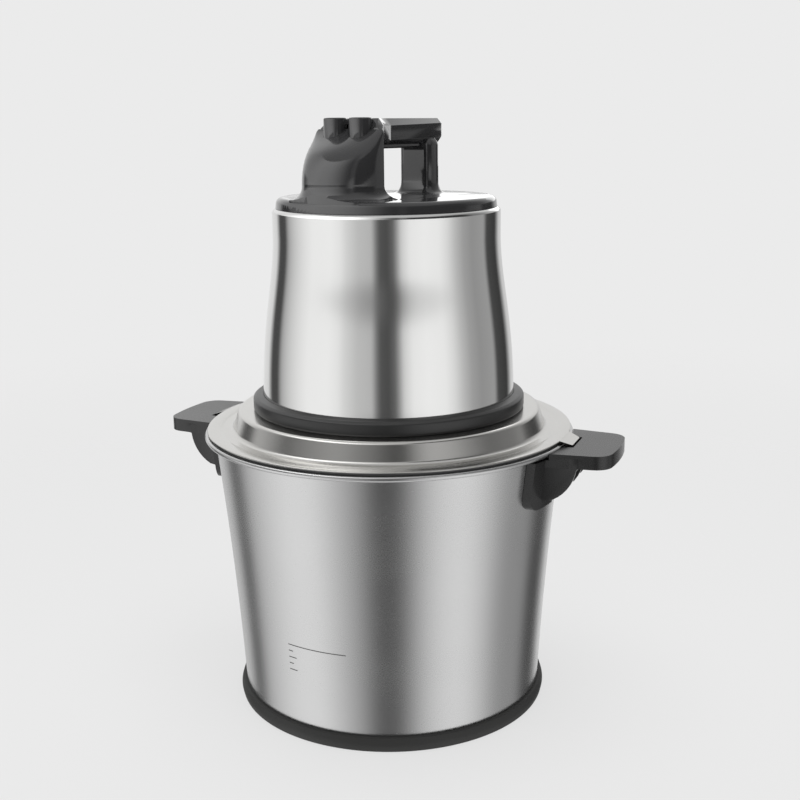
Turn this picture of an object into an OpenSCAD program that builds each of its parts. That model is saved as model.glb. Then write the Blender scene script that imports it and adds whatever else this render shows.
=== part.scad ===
// Electric food chopper: a flared steel bowl with two side handles, a pressed steel lid and a motor head
// that lifts off, with a moulded top handle and two push buttons. Millimetres, +Z up.
// The origin is the centre of the foot ring's underside; the side handles lie along X.

/* [Foot ring] */
// Height of the foot ring
foot_height = 10.9; // [8:0.1:16]
// Thickness of the ring under the bowl's floor
foot_floor = 2; // [1:0.1:4]
// How far the ring's fullest point stands out from the bowl
foot_bulge = 4.8; // [3:0.1:7]
// How far the ring reaches in under the bowl
foot_shelf = 20; // [12:1:30]

/* [Bowl] */
// Outer radius of the wall at the floor
bowl_floor_radius = 117.4; // [110:0.1:122]
// Outer radius of the wall at the rim
bowl_top_radius = 134.8; // [130:0.1:140]
// Inward sag of the wall halfway up, which makes the soft flare
bowl_wall_sag = 1.9; // [0:0.1:3]
// Height from the bowl's underside to the top of its rim
bowl_height = 211.2; // [180:0.1:240]
// Thickness of the bowl's sheet
bowl_sheet = 1; // [0.7:0.1:1.4]
// Outer radius of the corner between floor and wall
bowl_corner = 9; // [5:0.5:14]
// Width of the flat ledge that the lid rests on
rim_ledge = 5.2; // [4:0.1:8]
// Radius of the rolled bead at the edge of the rim
rim_bead = 2; // [1.5:0.1:3]

/* [Side handles] */
// Reach of the handle plates from the bowl's axis
handle_reach = 181; // [172:0.5:195]
// Width of a plate at the rim
handle_width = 74; // [60:1:90]
// Angle by which each side of a plate draws in
handle_taper = 6; // [0:0.5:10]
// Thickness of a plate
handle_thickness = 10; // [7:0.5:14]
// Drop from the rim's top to the plate's top
handle_drop = 1.2; // [0.5:0.1:3]
// Radius of a plate's outer corners
handle_corner = 13; // [6:0.5:18]
// Wall of the moulded handles
handle_wall = 2.6; // [2:0.1:4]
// Width of the pad that lies on the bowl
pad_width = 100; // [84:1:110]
// Height of the pad below the plate's top
pad_height = 42; // [34:1:50]
// Thickness of the pad
pad_thickness = 6; // [4:0.5:8]
// Width of the notch for the lid's tab
notch_width = 30; // [22:1:36]
// Depth of the notch beyond the bead
notch_depth = 7.5; // [5:0.5:10]
// Radius of the studs that hold the handles
stud_radius = 2; // [1.6:0.1:2.4]

/* [Blade set] */
// Radius of the spindle on the bowl's floor
spindle_radius = 6; // [5:0.1:7]
// Height of the spindle above its flange
spindle_height = 30; // [20:1:45]
// Radius of the spindle's flange
spindle_flange_radius = 20; // [16:1:26]
// Radius of the blade shaft
shaft_radius = 9; // [8.5:0.1:10]
// Radius of the collar under the lower blade
collar_radius = 14; // [12:0.5:18]
// Height of that collar
collar_height = 9; // [6:0.5:14]
// Reach of the blades from the axis
blade_reach = 107; // [90:1:109]
// Thickness of the blades
blade_sheet = 1.8; // [1.2:0.1:2.4]
// Width of a blade near its root
blade_width = 26; // [20:1:32]
// Length of the spacer between the two blades
spacer_length = 46; // [30:1:70]
// Height of the nut over the upper blade
nut_height = 9; // [6:0.5:12]
// Upward bend of the upper blade's wings
upper_bend = 16; // [8:1:24]
// Distance across the flats of the hexagonal drive
drive_flats = 11; // [10:0.1:12]

/* [Lid] */
// Thickness of the lid's sheet
lid_sheet = 0.8; // [0.5:0.1:1.2]
// Radius of the raised plateau
plateau_radius = 116.4; // [112:0.1:120]
// Height of the plateau above the bowl's rim
plateau_rise = 17; // [12:0.1:22]
// Outward lean of the plateau's side
plateau_draft = 3; // [1:0.1:5]
// Height of the sealing ring between bowl and lid
seal_height = 2; // [1.4:0.1:3]
// Radius of the hole in the middle of the lid
lid_hole_radius = 30.3; // [28:0.1:34]
// Reach of the lid's tabs beyond its flange
tab_reach = 8; // [5:0.5:9]
// Width of a tab
tab_width = 27; // [18:1:33]

/* [Motor head] */
// Turn of the head, seen from above
head_turn = 15; // [-45:1:45]
// Radius of the head's black base ring
base_radius = 104.1; // [101:0.1:108]
// Height of the base ring
base_height = 11.7; // [9:0.1:14]
// Radius of the steel housing at its foot
housing_foot_radius = 96.3; // [94:0.1:98]
// Radius of the steel housing at its neck
housing_neck_radius = 85.3; // [83:0.1:88]
// Height of the steel housing above the base ring
housing_height = 139.4; // [134:0.1:150]
// Height at which the flare meets the straight neck
neck_start = 118; // [105:1:124]
// Radius of the housing's shoulder under the cap
shoulder = 3.6; // [2.5:0.1:5]
// Thickness of the housing's sheet
housing_sheet = 0.8; // [0.6:0.1:1.2]
// Radius of the cap where it meets the housing
cap_radius = 82.6; // [80:0.1:84]
// Height of the cap above the housing
cap_height = 7.9; // [6:0.1:10]
// Thickness of the cap's top
cap_wall = 3; // [2.4:0.1:4]
// Radius of the cap's upper edge
cap_round = 4.5; // [2:0.1:5]

/* [Top handle] */
// Distance from the head's axis back to the dome's flat rear face
dome_back = 42; // [38:0.5:46]
// Length of the dome in front of its rear face
dome_reach = 37.4; // [34:0.1:40]
// Half the width of the dome at its foot
dome_half_width = 30.2; // [29:0.1:33]
// Height of the dome's rear edge above the cap
dome_height = 49.3; // [46:0.1:53]
// Slope of the dome's top towards the front
dome_slope = 30; // [24:1:34]
// Radius of the dome's front shoulder
dome_shoulder = 30; // [12:1:31]
// Radius of the two corners at the dome's rear edge
dome_corner = 3.5; // [2:0.5:9]
// Wall of the handle's mouldings
moulding_wall = 2.6; // [2:0.1:3.2]
// Height of the parting line on the dome
dome_seam = 11.4; // [10:0.1:13]
// Height of the parting line on the post
post_seam = 14.6; // [12:0.1:17]
// Radius of the fillet round the foot of dome and post
foot_fillet = 9.5; // [6:0.5:9.5]
// Height of the grip's top above the cap
grip_top = 56.1; // [54:0.1:60]
// Height of the grip's moulding
grip_height = 18.5; // [15:0.5:22]
// Half the width of the grip
grip_half_width = 12; // [10:0.5:14]
// Bevel along the grip's edges
grip_bevel = 4.6; // [3:0.1:5.5]
// Length of the neck that flares from the grip to the dome
neck_length = 34; // [26:1:40]
// Upward tilt of the grip's side faces towards the post
grip_rise = 1.6; // [0:0.1:2.5]
// Overhang of the grip's rounded end beyond the post
grip_overhang = 7.3; // [3:0.1:9]
// Distance from the head's axis to the post's front face
post_front = 35.5; // [33:0.1:39]
// Thickness of the post from front to rear
post_depth = 15.7; // [14:0.1:19]
// Half the width of the post
post_half_width = 14.5; // [13:0.1:16]
// Radius of the post's upright corners
post_corner = 5; // [3:0.5:7]
// Thickness of the strip that closes the grip from below
strip_thickness = 3; // [2.5:0.1:4.5]
// Half the width of that strip
strip_half_width = 8.4; // [7:0.1:9.4]
// Radius of the push buttons
button_radius = 8.4; // [7.5:0.1:8.6]
// Distance of the button centres from the dome's rear face
button_inset = 2.2; // [1.5:0.1:6]
// Distance between the two button centres
button_pitch = 22.6; // [21:0.1:23]
// Height of the buttons' tops above the cap
button_top = 56.8; // [55.5:0.1:60]
// Travel of the buttons
button_travel = 3; // [2:0.5:3.5]

/* [Drive] */
// Module of the gears
gear_module = 1.5; // [1.4:0.05:1.6]
// Width of the gears
gear_width = 13; // [10:0.5:16]
// Radius of the motor's armature
armature_radius = 24.6; // [20:0.1:27]
// Half the width of the stator
stator_half_width = 44; // [41:0.5:50]
// Radius of the motor shaft
motor_shaft_radius = 5; // [4:0.1:5.5]
// Radius of the output shaft
output_radius = 6; // [5:0.1:6.2]
// Outer radius of the output shaft's bearing
output_bearing_radius = 14; // [13:0.1:15]
// Outer radius of the motor's lower bearing
lower_bearing_radius = 13; // [11:0.1:14]
// Outer radius of the motor's upper bearing
upper_bearing_radius = 11; // [9.5:0.1:12]
// Radius of the commutator
commutator_radius = 14; // [12:0.1:15]
// Width of a carbon brush
brush_width = 6; // [4:0.1:8]
// Height of a carbon brush
brush_height = 9; // [6:0.1:9.5]
// Length of a carbon brush
brush_length = 12.7; // [10:0.1:15]
// Width of a brush holder
brush_holder_width = 14; // [11:0.1:18]
// Radius of the screws and tie rods in the head
screw_radius = 2; // [1.8:0.1:2.2]

/* [Clearances] */
// Gap round a turning or sliding fit
running_gap = 0.06; // [0.03:0.01:0.1]
// Gap between pieces of one body that are fitted together
fit_gap = 0.1; // [0.05:0.01:0.2]
// Gap between pieces that lift off each other
lift_gap = 0.3; // [0.2:0.05:0.5]
// Backlash of the gears at the pitch circle
backlash = 0.2; // [0.12:0.02:0.3]

/* [Hidden] */
$fn = 96;

// Levels of the bowl, lid and blade set
bowl_z = foot_floor;
rim_z = bowl_z + bowl_height;
floor_z = bowl_z + bowl_sheet;
bead_centre_radius = bowl_top_radius + rim_ledge;
rim_radius = bead_centre_radius + rim_bead;
corner_centre_z = bowl_z + bowl_corner;
corner_centre_radius = wall_radius(corner_centre_z) - bowl_corner;
plate_z = rim_z - handle_drop;
flange_z = rim_z + seal_height;
lid_radius = bead_centre_radius;
plateau_z = rim_z + plateau_rise;
spindle_flange = 2.5;
shaft_z = floor_z + spindle_flange + lift_gap;
lower_blade_z = shaft_z + collar_height;
upper_blade_z = lower_blade_z + blade_sheet + spacer_length;
nut_z = upper_blade_z + blade_sheet;
nut_radius = shaft_radius + 6;

// Levels of the motor head
base_z = plateau_z;
housing_z = base_z + base_height;
cap_z = housing_z + housing_height;
cap_top = cap_z + cap_height;
base_floor_z = base_z + 5.8;
spigot_bottom_z = plateau_z - 8;
spigot_radius = lid_hole_radius - 3.3;
bearing_height = 8;
bearing_z = base_floor_z - bearing_height;
carrier_z = base_floor_z + 1.5;
carrier_thickness = 4.5;
gear_z = carrier_z + carrier_thickness + 0.6;
gearbox_top_z = gear_z + gear_width + 1;
fan_z = gearbox_top_z + 12;
iron_z = fan_z + 18;
coil_overhang = 8;
board_drop = 4.6;
board_depth = 9;
board_clearance = 2;
bracket_height = 9;
bracket_z = cap_top - cap_wall - board_drop - board_depth - board_clearance - bracket_height;
commutator_height = 15;
commutator_z = bracket_z - 2 - commutator_height;
iron_height = commutator_z - 2 - coil_overhang - iron_z;
shaft_end_z = bracket_z + bracket_height;

// Gear train: a stub-tooth planetary stage whose ring is fixed
sun_teeth = 12;
planet_teeth = 18;
ring_teeth = sun_teeth + 2 * planet_teeth;
planet_orbit = gear_module * (sun_teeth + planet_teeth) / 2;
ring_outer_radius = gear_module * ring_teeth / 2 + 5;
pressure_angle = 25;
addendum = 0.8 * gear_module;
dedendum = 1.05 * gear_module;
planet_pin_radius = 3;

// Places on the top handle, measured along the head's own axes
rear_face = -dome_back;
button_line = rear_face - button_inset;
grip_end = post_front + post_depth + grip_overhang;
button_flange_top = cap_top + dome_height - (button_inset + button_radius + 1.6) * tan(dome_slope) - 4.4;
bracket_top_z = cap_top + 17.8;
boss_x = button_pitch / 2 + button_radius + 4.9;
boss_y = rear_face - 4.5;
post_y = post_front + post_depth / 2;
neck_end = rear_face + neck_length;

// Points along an arc about [cx, cy], from angle a to angle b
function arc(cx, cy, r, a, b, n = 8) =
    [for (i = [0:n]) [cx + r * cos(a + (b - a) * i / n), cy + r * sin(a + (b - a) * i / n)]];

// Outer radius of the bowl's wall at height z
function wall_radius(z) =
    let (s = (z - bowl_z) / bowl_height)
    bowl_floor_radius + (bowl_top_radius - bowl_floor_radius) * s - 4 * bowl_wall_sag * s * (1 - s);

// Wall points from height a to height b, moved out by d
function wall_points(a, b, d, n = 14) =
    [for (i = [0:n]) let (z = a + (b - a) * i / n) [wall_radius(z) + d, z]];

// Outline of the space the bowl fills, grown by d, for what is fitted round it
function bowl_space(d) = concat(
    [[0, bowl_z - d]],
    arc(corner_centre_radius, corner_centre_z, bowl_corner + d, -90, 0),
    wall_points(corner_centre_z + 1, rim_z - 2 * rim_bead - 1, d),
    [[bead_centre_radius, rim_z - 2 * rim_bead - d]],
    arc(bead_centre_radius, rim_z - rim_bead, rim_bead + d, -90, 90, 10),
    [[0, rim_z + d]]
);

// Point on a cubic Bezier curve
function bezier(p, t) =
    pow(1 - t, 3) * p[0] + 3 * t * pow(1 - t, 2) * p[1] + 3 * t * t * (1 - t) * p[2] + pow(t, 3) * p[3];

// Outline of the steel housing's flare and neck, moved out by d
function housing_points(d, n = 16) =
    let (p = [
        [housing_foot_radius, housing_z],
        [housing_foot_radius - 1.7, housing_z + neck_start * 0.52],
        [housing_neck_radius + 0.7, housing_z + neck_start * 0.71],
        [housing_neck_radius, housing_z + neck_start]
    ])
    [for (i = [0:n]) bezier(p, i / n) + [d, 0]];

// Ring of teeth: involute flanks with add above and ded below the pitch circle, thinned by thin at the pitch
function involute_angle(base, r) =
    r <= base ? 0 : sqrt(pow(r / base, 2) - 1) * 180 / PI - acos(base / r);
function tooth_half_angle(teeth, r, thin) =
    let (pitch = gear_module * teeth / 2)
    let (base = pitch * cos(pressure_angle))
    90 / teeth - thin / pitch * 90 / PI + involute_angle(base, pitch) - involute_angle(base, r);
function tooth_ring(teeth, add, ded, thin, n = 4) =
    let (pitch = gear_module * teeth / 2)
    let (low = pitch - ded)
    let (start = max(low, pitch * cos(pressure_angle)))
    let (radii = concat(low < start ? [low] : [], [for (i = [0:n]) start + (pitch + add - start) * i / n]))
    [for (t = [0:teeth - 1], side = [-1, 1], i = [0:len(radii) - 1])
        let (r = radii[side < 0 ? i : len(radii) - 1 - i])
        let (a = 360 * t / teeth + side * tooth_half_angle(teeth, r, thin))
        [r * cos(a), r * sin(a)]
    ];

// Solid through rings of equally many points
module loft(rings) {
    n = len(rings[0]);
    m = len(rings);
    points = [for (ring = rings, p = ring) p];
    sides = [for (j = [0:m - 2], i = [0:n - 1], k = [0, 1])
        let (a = j * n + i, b = j * n + (i + 1) % n)
        k == 0 ? [a, b, b + n] : [a, b + n, a + n]
    ];
    bottom = [[for (i = [n - 1:-1:0]) i]];
    top = [[for (i = [0:n - 1]) (m - 1) * n + i]];
    polyhedron(points, [for (f = concat(bottom, sides, top)) [for (i = [len(f) - 1:-1:0]) f[i]]]);
}

// Turned piece from an outline of [radius, height] points
module turned(points) {
    rotate_extrude() polygon(points);
}

// Plain ring between two radii
module ring(inner, outer, z, height) {
    translate([0, 0, z]) difference() {
        cylinder(r = outer, h = height);
        translate([0, 0, -1]) cylinder(r = inner, h = height + 2);
    }
}

// Pan-head screw with its head's underside at the origin, pointing up
module screw(radius, length, head_radius, head_height) {
    translate([0, 0, -head_height]) difference() {
        cylinder(r = head_radius, h = head_height);
        translate([-head_radius * 0.6, -0.5, -1]) cube([head_radius * 1.2, 1, 1 + head_height * 0.5]);
        translate([-0.5, -head_radius * 0.6, -1]) cube([1, head_radius * 1.2, 1 + head_height * 0.5]);
    }
    cylinder(r = radius, h = length);
}

module foot_ring() {
    outer = bowl_floor_radius + foot_bulge;
    color("#3a3a38") difference() {
        turned(concat(
            [[bowl_floor_radius - foot_shelf, 0], [outer - 1, 0]],
            arc(outer - foot_height * 0.9, foot_height * 0.5, foot_height * 0.9, -24, 24, 6),
            [[outer - 1.6, foot_height - 0.7], [outer - 2.6, foot_height]],
            [[bowl_floor_radius - foot_shelf, foot_height]]
        ));
        turned(bowl_space(fit_gap));
        ring(bowl_floor_radius - 11, bowl_floor_radius - 7, -1, 1.8);
        translate([0, 0, bowl_z + fit_gap]) cylinder(r = bowl_floor_radius - bowl_corner, h = foot_height);
    }
}

module bowl() {
    bend = 3;
    wall_top = rim_z - bowl_sheet - bend;
    bend_radius = wall_radius(wall_top) + bend;
    inner_corner = bowl_corner - bowl_sheet;
    outer_path = concat(
        [[0, bowl_z]],
        arc(corner_centre_radius, corner_centre_z, bowl_corner, -90, 0),
        wall_points(corner_centre_z + 1, wall_top, 0),
        arc(bend_radius, wall_top, bend, 180, 90, 5),
        [[bead_centre_radius, rim_z - bowl_sheet]]
    );
    inner_path = concat(
        [[bead_centre_radius, rim_z]],
        arc(bend_radius, wall_top, bend + bowl_sheet, 90, 180, 5),
        wall_points(wall_top, corner_centre_z + 1, -bowl_sheet),
        arc(corner_centre_radius, corner_centre_z, inner_corner, 0, -90),
        [[0, floor_z]]
    );
    color("#c9cac8") rotate_extrude() union() {
        polygon(concat(outer_path, inner_path));
        translate([bead_centre_radius, rim_z - rim_bead]) circle(r = rim_bead);
    }
}

module blade_spindle() {
    top = floor_z + spindle_flange + spindle_height;
    color("#d4d5d3") turned([
        [0, floor_z], [spindle_flange_radius, floor_z], [spindle_flange_radius, floor_z + 1.2],
        [spindle_flange_radius - 1.3, floor_z + spindle_flange],
        [spindle_radius, floor_z + spindle_flange], [spindle_radius, top - 2],
        [spindle_radius - 2, top], [0, top]
    ]);
}

// Outline of a handle plate: tapered sides, a front edge round the bowl's axis and rounded corners
function plate_outline(inner, shrink = 0) =
    let (half = handle_width / 2 - shrink, reach = handle_reach - shrink)
    let (corner = max(handle_corner - shrink, 2))
    let (side = sin(handle_taper) * rim_radius + cos(handle_taper) * half)
    let (turn = asin((side - corner) / (reach - corner)) - handle_taper)
    let (cx = (reach - corner) * cos(turn), cy = (reach - corner) * sin(turn))
    let (right = concat(
        arc(0, 0, reach, 0, turn, 4),
        arc(cx, cy, corner, turn, 90 - handle_taper, 6),
        [[inner, half + (rim_radius - inner) * tan(handle_taper)]]
    ))
    concat(right, [for (i = [len(right) - 1:-1:1]) [right[i][0], -right[i][1]]]);

// Side profile of the gusset under the plate
function gusset_profile(shrink = 0) = concat(
    [[rim_radius - 24, plate_z - 3], [rim_radius + 15.5 - shrink, plate_z - 3]],
    [[rim_radius + 15.5 - shrink, plate_z - handle_thickness]],
    arc(rim_radius - 16, plate_z - handle_thickness + 3, 30.6 - shrink, -6, -62, 7),
    [[rim_radius - 24, plate_z - pad_height + 4 + shrink]]
);

// Three open pockets in the outer side of the gusset, parted by ribs
low_z = plate_z - pad_height;
gusset_half = handle_width / 2 - 1;
pocket_width = (2 * gusset_half - 4 * handle_wall) / 3;
pocket_pitch = pocket_width + handle_wall;
pocket_x = wall_radius(low_z) + pad_thickness + 5;

module side_handle() {
    inner = rim_radius - 22;
    difference() {
        union() {
            translate([0, 0, plate_z - handle_thickness]) linear_extrude(handle_thickness)
                polygon(plate_outline(inner));
            rotate([90, 0, 0]) translate([0, 0, -gusset_half]) linear_extrude(2 * gusset_half)
                polygon(gusset_profile());
            intersection() {
                turned(concat(
                    wall_points(low_z, plate_z - 3, 0, 6),
                    [for (i = [6:-1:0]) let (z = low_z + (plate_z - 3 - low_z) * i / 6)
                        [wall_radius(z) + pad_thickness, z]]
                ));
                rotate([90, 0, 90]) linear_extrude(rim_radius + 20) polygon(concat(
                    arc(pad_width / 2 - 11, low_z + 11, 11, -90, 0),
                    [[pad_width / 2, plate_z - 3], [-pad_width / 2, plate_z - 3]],
                    arc(-pad_width / 2 + 11, low_z + 11, 11, 180, 270)
                ));
            }
        }
        turned(bowl_space(fit_gap + 0.1));
        translate([0, 0, rim_z - 3 * rim_bead]) cylinder(r = rim_radius + fit_gap + 0.1, h = 20);
        translate([0, 0, plate_z - handle_thickness - 1]) linear_extrude(handle_thickness + 1 - handle_wall)
            difference() {
                polygon(plate_outline(rim_radius + 19, handle_wall));
                translate([0, -handle_wall / 2]) square([handle_reach, handle_wall]);
                for (x = [rim_radius + 24:12:handle_reach]) translate([x, -handle_width])
                    square([handle_wall * 0.7, 2 * handle_width]);
            }
        for (k = [-1, 0, 1]) translate([pocket_x, k * pocket_pitch - pocket_width / 2, low_z - 5])
            cube([60, pocket_width, pad_height + 5 - handle_thickness - handle_wall]);
        linear_extrude(rim_z + 10) polygon([
            [rim_radius - 8, -notch_width / 2 - 2.4], [rim_radius + notch_depth, -notch_width / 2],
            [rim_radius + notch_depth, notch_width / 2], [rim_radius - 8, notch_width / 2 + 2.4]
        ]);
        for (y = [-1, 1]) stud_place(y) translate([0, 0, -30]) cylinder(r = stud_radius + fit_gap, h = 40);
    }
}

// Where the two welded studs of a side handle stand: level, with their nuts on the floors of the outer pockets
module stud_place(side) {
    translate([pocket_x, side * pocket_pitch, plate_z - pad_height * 0.6]) rotate([0, 90, 0]) children();
}

module side_handle_right() {
    color("#4a4a4a") side_handle();
}

module side_handle_left() {
    color("#4a4a4a") rotate([0, 0, 180]) side_handle();
}

// Welded studs with dome nuts, two for each side handle
module handle_studs() {
    color("#8d8e8c") for (a = [0, 180], y = [-1, 1]) rotate([0, 0, a]) difference() {
        stud_place(y) {
            translate([0, 0, -20]) cylinder(r = stud_radius, h = 22);
            cylinder(r = 4, h = 3.2, $fn = 6);
            translate([0, 0, 3.2]) cylinder(r1 = 3.4, r2 = 2.2, h = 2);
        }
        turned(bowl_space(0.02));
    }
}

// Circle through three points, as its centre and radius
function circle_through(a, b, c) =
    let (d = 2 * (a[0] * (b[1] - c[1]) + b[0] * (c[1] - a[1]) + c[0] * (a[1] - b[1])))
    let (x = ((a * a) * (b[1] - c[1]) + (b * b) * (c[1] - a[1]) + (c * c) * (a[1] - b[1])) / d)
    let (y = ((a * a) * (c[0] - b[0]) + (b * b) * (a[0] - c[0]) + (c * c) * (b[0] - a[0])) / d)
    [x, y, norm([a[0] - x, a[1] - y])];

// Points from a to c along the circle through a, b and c
function curve_through(a, b, c, n = 10) =
    let (k = circle_through(a, b, c))
    let (from = atan2(a[1] - k[1], a[0] - k[0]), to = atan2(c[1] - k[1], c[0] - k[0]))
    arc(k[0], k[1], k[2], from, to, n);

// Scythe-shaped wing along X, with its hollow side ground to a cutting edge
module blade_wing() {
    half = blade_width / 2;
    edge = [[0.13 * blade_reach, half], [0.56 * blade_reach, 0.4 * half], [0.915 * blade_reach, 2.5 * half]];
    back = [[0.13 * blade_reach, -half], [0.66 * blade_reach, -1.1 * half], [0.985 * blade_reach, 1.3 * half]];
    k = circle_through(edge[0], edge[1], edge[2]);
    difference() {
        linear_extrude(blade_sheet) polygon(concat(
            [[0, half], [0, -half]],
            curve_through(back[0], back[1], back[2]),
            [[0.975 * blade_reach, 1.9 * half]],
            curve_through(edge[2], edge[1], edge[0])
        ));
        translate([k[0], k[1], 0.3]) cylinder(r1 = k[2] + 0.3, r2 = k[2] + 6, h = blade_sheet);
    }
}

// Disc with two wings that leave it at the given bend
module blade(bend) {
    hub = nut_radius + 2;
    fold = nut_radius + 0.8;
    difference() {
        union() {
            cylinder(r = hub, h = blade_sheet);
            for (a = [0, 180]) rotate([0, 0, a]) intersection() {
                translate([fold, 0, 0]) rotate([0, -bend, 0]) translate([-fold, 0, 0]) blade_wing();
                translate([fold - 1, -blade_reach, 0]) cube([blade_reach, 2 * blade_reach, blade_reach]);
            }
        }
        translate([0, 0, -1]) cylinder(r = shaft_radius + fit_gap, h = blade_sheet + 2);
    }
}

module lower_blade() {
    color("#d8d9d7") translate([0, 0, lower_blade_z]) blade(0);
}

module upper_blade() {
    color("#d8d9d7") translate([0, 0, upper_blade_z]) rotate([0, 0, 90]) blade(upper_bend);
}

module blade_spacer() {
    color("#2e2e2e") ring(shaft_radius + fit_gap, shaft_radius + 4, lower_blade_z + blade_sheet, spacer_length);
}

module blade_nut() {
    color("#2e2e2e") translate([0, 0, nut_z]) difference() {
        union() {
            cylinder(r = nut_radius, h = nut_height - 2);
            translate([0, 0, nut_height - 2]) cylinder(r1 = nut_radius, r2 = nut_radius - 2, h = 2);
        }
        translate([0, 0, -1]) cylinder(r = shaft_radius + fit_gap, h = nut_height + 2);
        for (a = [0:30:330]) rotate([0, 0, a]) translate([nut_radius + 0.8, 0, -1]) cylinder(r = 1.4, h = 30);
    }
}

// Levels of the hexagonal drive, which enters the top of the blade shaft
socket_top = spigot_bottom_z - 2;
socket_depth = 19;
drive_tip_z = socket_top - socket_depth + 2;

module blade_shaft() {
    bore_top = floor_z + spindle_flange + spindle_height + 1;
    head = shaft_radius + 3;
    color("#bfc0be") difference() {
        turned([
            [0, shaft_z], [collar_radius - 1, shaft_z], [collar_radius, shaft_z + 1],
            [collar_radius, lower_blade_z], [shaft_radius, lower_blade_z],
            [shaft_radius, socket_top - 32], [head, socket_top - 28],
            [head, socket_top - 1], [head - 1, socket_top], [0, socket_top]
        ]);
        translate([0, 0, shaft_z - 1]) cylinder(r = spindle_radius + running_gap, h = bore_top - shaft_z + 1);
        translate([0, 0, socket_top - socket_depth])
            cylinder(r = (drive_flats / 2 + lift_gap) / cos(30), h = socket_depth + 1, $fn = 6);
    }
}

// Profile of the lid's sheet as its upper face, moved in by d
lid_edge = 3.5;
lid_foot = 4;
lid_lean = atan(plateau_draft / (plateau_rise - 8));
lid_foot_z = flange_z + lid_sheet + 3.3;
lid_foot_x = plateau_radius - lid_edge
    + (lid_edge + lid_foot + (plateau_z - lid_edge - lid_foot_z) * sin(lid_lean)) / cos(lid_lean);
function lid_path(d) = concat(
    [[lid_hole_radius, plateau_z - d]],
    arc(plateau_radius - lid_edge, plateau_z - lid_edge, lid_edge - d, 90, lid_lean, 6),
    arc(lid_foot_x, lid_foot_z, lid_foot + d, 180 + lid_lean, 270, 6),
    [[lid_foot_x + 5.1, lid_foot_z - lid_foot - d], [lid_foot_x + 7.6, flange_z + lid_sheet - d]]
);

module lid() {
    tab_drop = 20;
    color("#d2d3d1") union() {
        turned(concat(
            lid_path(0), arc(lid_radius - lid_sheet, flange_z, lid_sheet, 90, 0, 3),
            [for (i = [len(lid_path(0)) - 1:-1:0]) lid_path(lid_sheet)[i]]
        ));
        for (a = [0, 180]) rotate([0, 0, a]) translate([lid_radius - 1.2, 0, flange_z])
            rotate([0, tab_drop, 0]) linear_extrude(lid_sheet) polygon([
                [0, -tab_width / 2 - 1.6], [tab_reach + 0.6, -tab_width / 2 + 1.2],
                [tab_reach + 1.2, -tab_width / 2 + 2], [tab_reach + 1.2, tab_width / 2 - 2],
                [tab_reach + 0.6, tab_width / 2 - 1.2], [0, tab_width / 2 + 1.6]
            ]);
    }
}

// Silicone ring: a pad between rim and flange with a lip that hangs inside the bowl
module lid_seal() {
    inner = wall_radius(rim_z - 8) - bowl_sheet - 3.4;
    pad_inner = lid_foot_x + 7.8;
    lip = wall_radius(rim_z - 8) - bowl_sheet - 0.6;
    color("#6f7070") turned([
        [lid_radius - 1.6, rim_z], [lid_radius - 1.6, flange_z], [pad_inner, flange_z],
        [pad_inner - 2.6, flange_z - 0.75], [inner, flange_z - 0.75], [inner, rim_z - 8],
        [lip, rim_z - 8], [lip - 1.4, rim_z - 3], [lip - 1.4, rim_z]
    ]);
}

module lid_bush() {
    inner = spigot_radius + lift_gap;
    outer = lid_hole_radius - fit_gap;
    color("#2e2e2e") turned([
        [inner, plateau_z - 7], [outer + 2.4, plateau_z - 7], [outer + 2.4, plateau_z - lid_sheet],
        [outer, plateau_z - lid_sheet], [outer, plateau_z], [outer + 5, plateau_z],
        [outer + 5, plateau_z + 1.2], [inner, plateau_z + 1.2]
    ]);
}

// Places of the tie screws and of the motor's columns
tie_radius = housing_neck_radius - 15;
column_offset = stator_half_width - 10;
module three(radius, start = 30) {
    for (a = [start, start + 120, start + 240]) rotate([0, 0, a]) translate([radius, 0, 0]) children();
}

module four() {
    for (x = [-1, 1], y = [-1, 1]) translate([x * column_offset, y * column_offset, 0]) children();
}

module head() {
    rotate([0, 0, -head_turn]) children();
}

module motor_base() {
    seat = housing_foot_radius;
    seat_z = housing_z - 3.4;
    inner_lip = seat - housing_sheet - fit_gap;
    color("#383838") difference() {
        turned(concat(
            [[output_radius + 2.5, spigot_bottom_z], [spigot_radius, spigot_bottom_z]],
            [[spigot_radius, base_floor_z - 3], [base_radius - 7, base_floor_z - 3]],
            [[base_radius - 7, base_z], [base_radius - 1, base_z], [base_radius, base_z + 1.2]],
            arc(base_radius - 2, housing_z - 4, 2, 0, 70, 4),
            [[seat + fit_gap, housing_z], [seat + fit_gap, seat_z], [inner_lip, seat_z]],
            [[inner_lip - 0.8, housing_z + 6], [inner_lip - 3.4, housing_z + 6]],
            [[inner_lip - 3.4, base_floor_z]],
            [[output_radius + 2.5, base_floor_z]]
        ));
        translate([0, 0, bearing_z]) cylinder(r = output_bearing_radius + fit_gap, h = 20);
        translate([0, 0, spigot_bottom_z - 1]) cylinder(r = output_radius + 5 + fit_gap, h = 5);
        three(tie_radius) translate([0, 0, base_z - 1]) cylinder(r = screw_radius + fit_gap, h = 30);
        four() translate([0, 0, base_z - 1]) cylinder(r = screw_radius + fit_gap, h = 30);
    }
}

module motor_housing() {
    seat_z = housing_z - 3.4;
    opening = cap_radius - 5;
    color("#d4d5d4") difference() {
        turned(concat(
            [[housing_foot_radius, seat_z]], housing_points(0),
            arc(housing_neck_radius - shoulder, cap_z - shoulder, shoulder, 0, 90, 6),
            [[opening, cap_z], [opening, cap_z - housing_sheet]],
            arc(housing_neck_radius - shoulder, cap_z - shoulder, shoulder - housing_sheet, 90, 0, 6),
            [for (i = [len(housing_points(0)) - 1:-1:0]) housing_points(-housing_sheet)[i]],
            [[housing_foot_radius - housing_sheet, seat_z]]
        ));
        head() grommet_place() cylinder(r = 7 + fit_gap, h = 30, center = true);
    }
}

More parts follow.
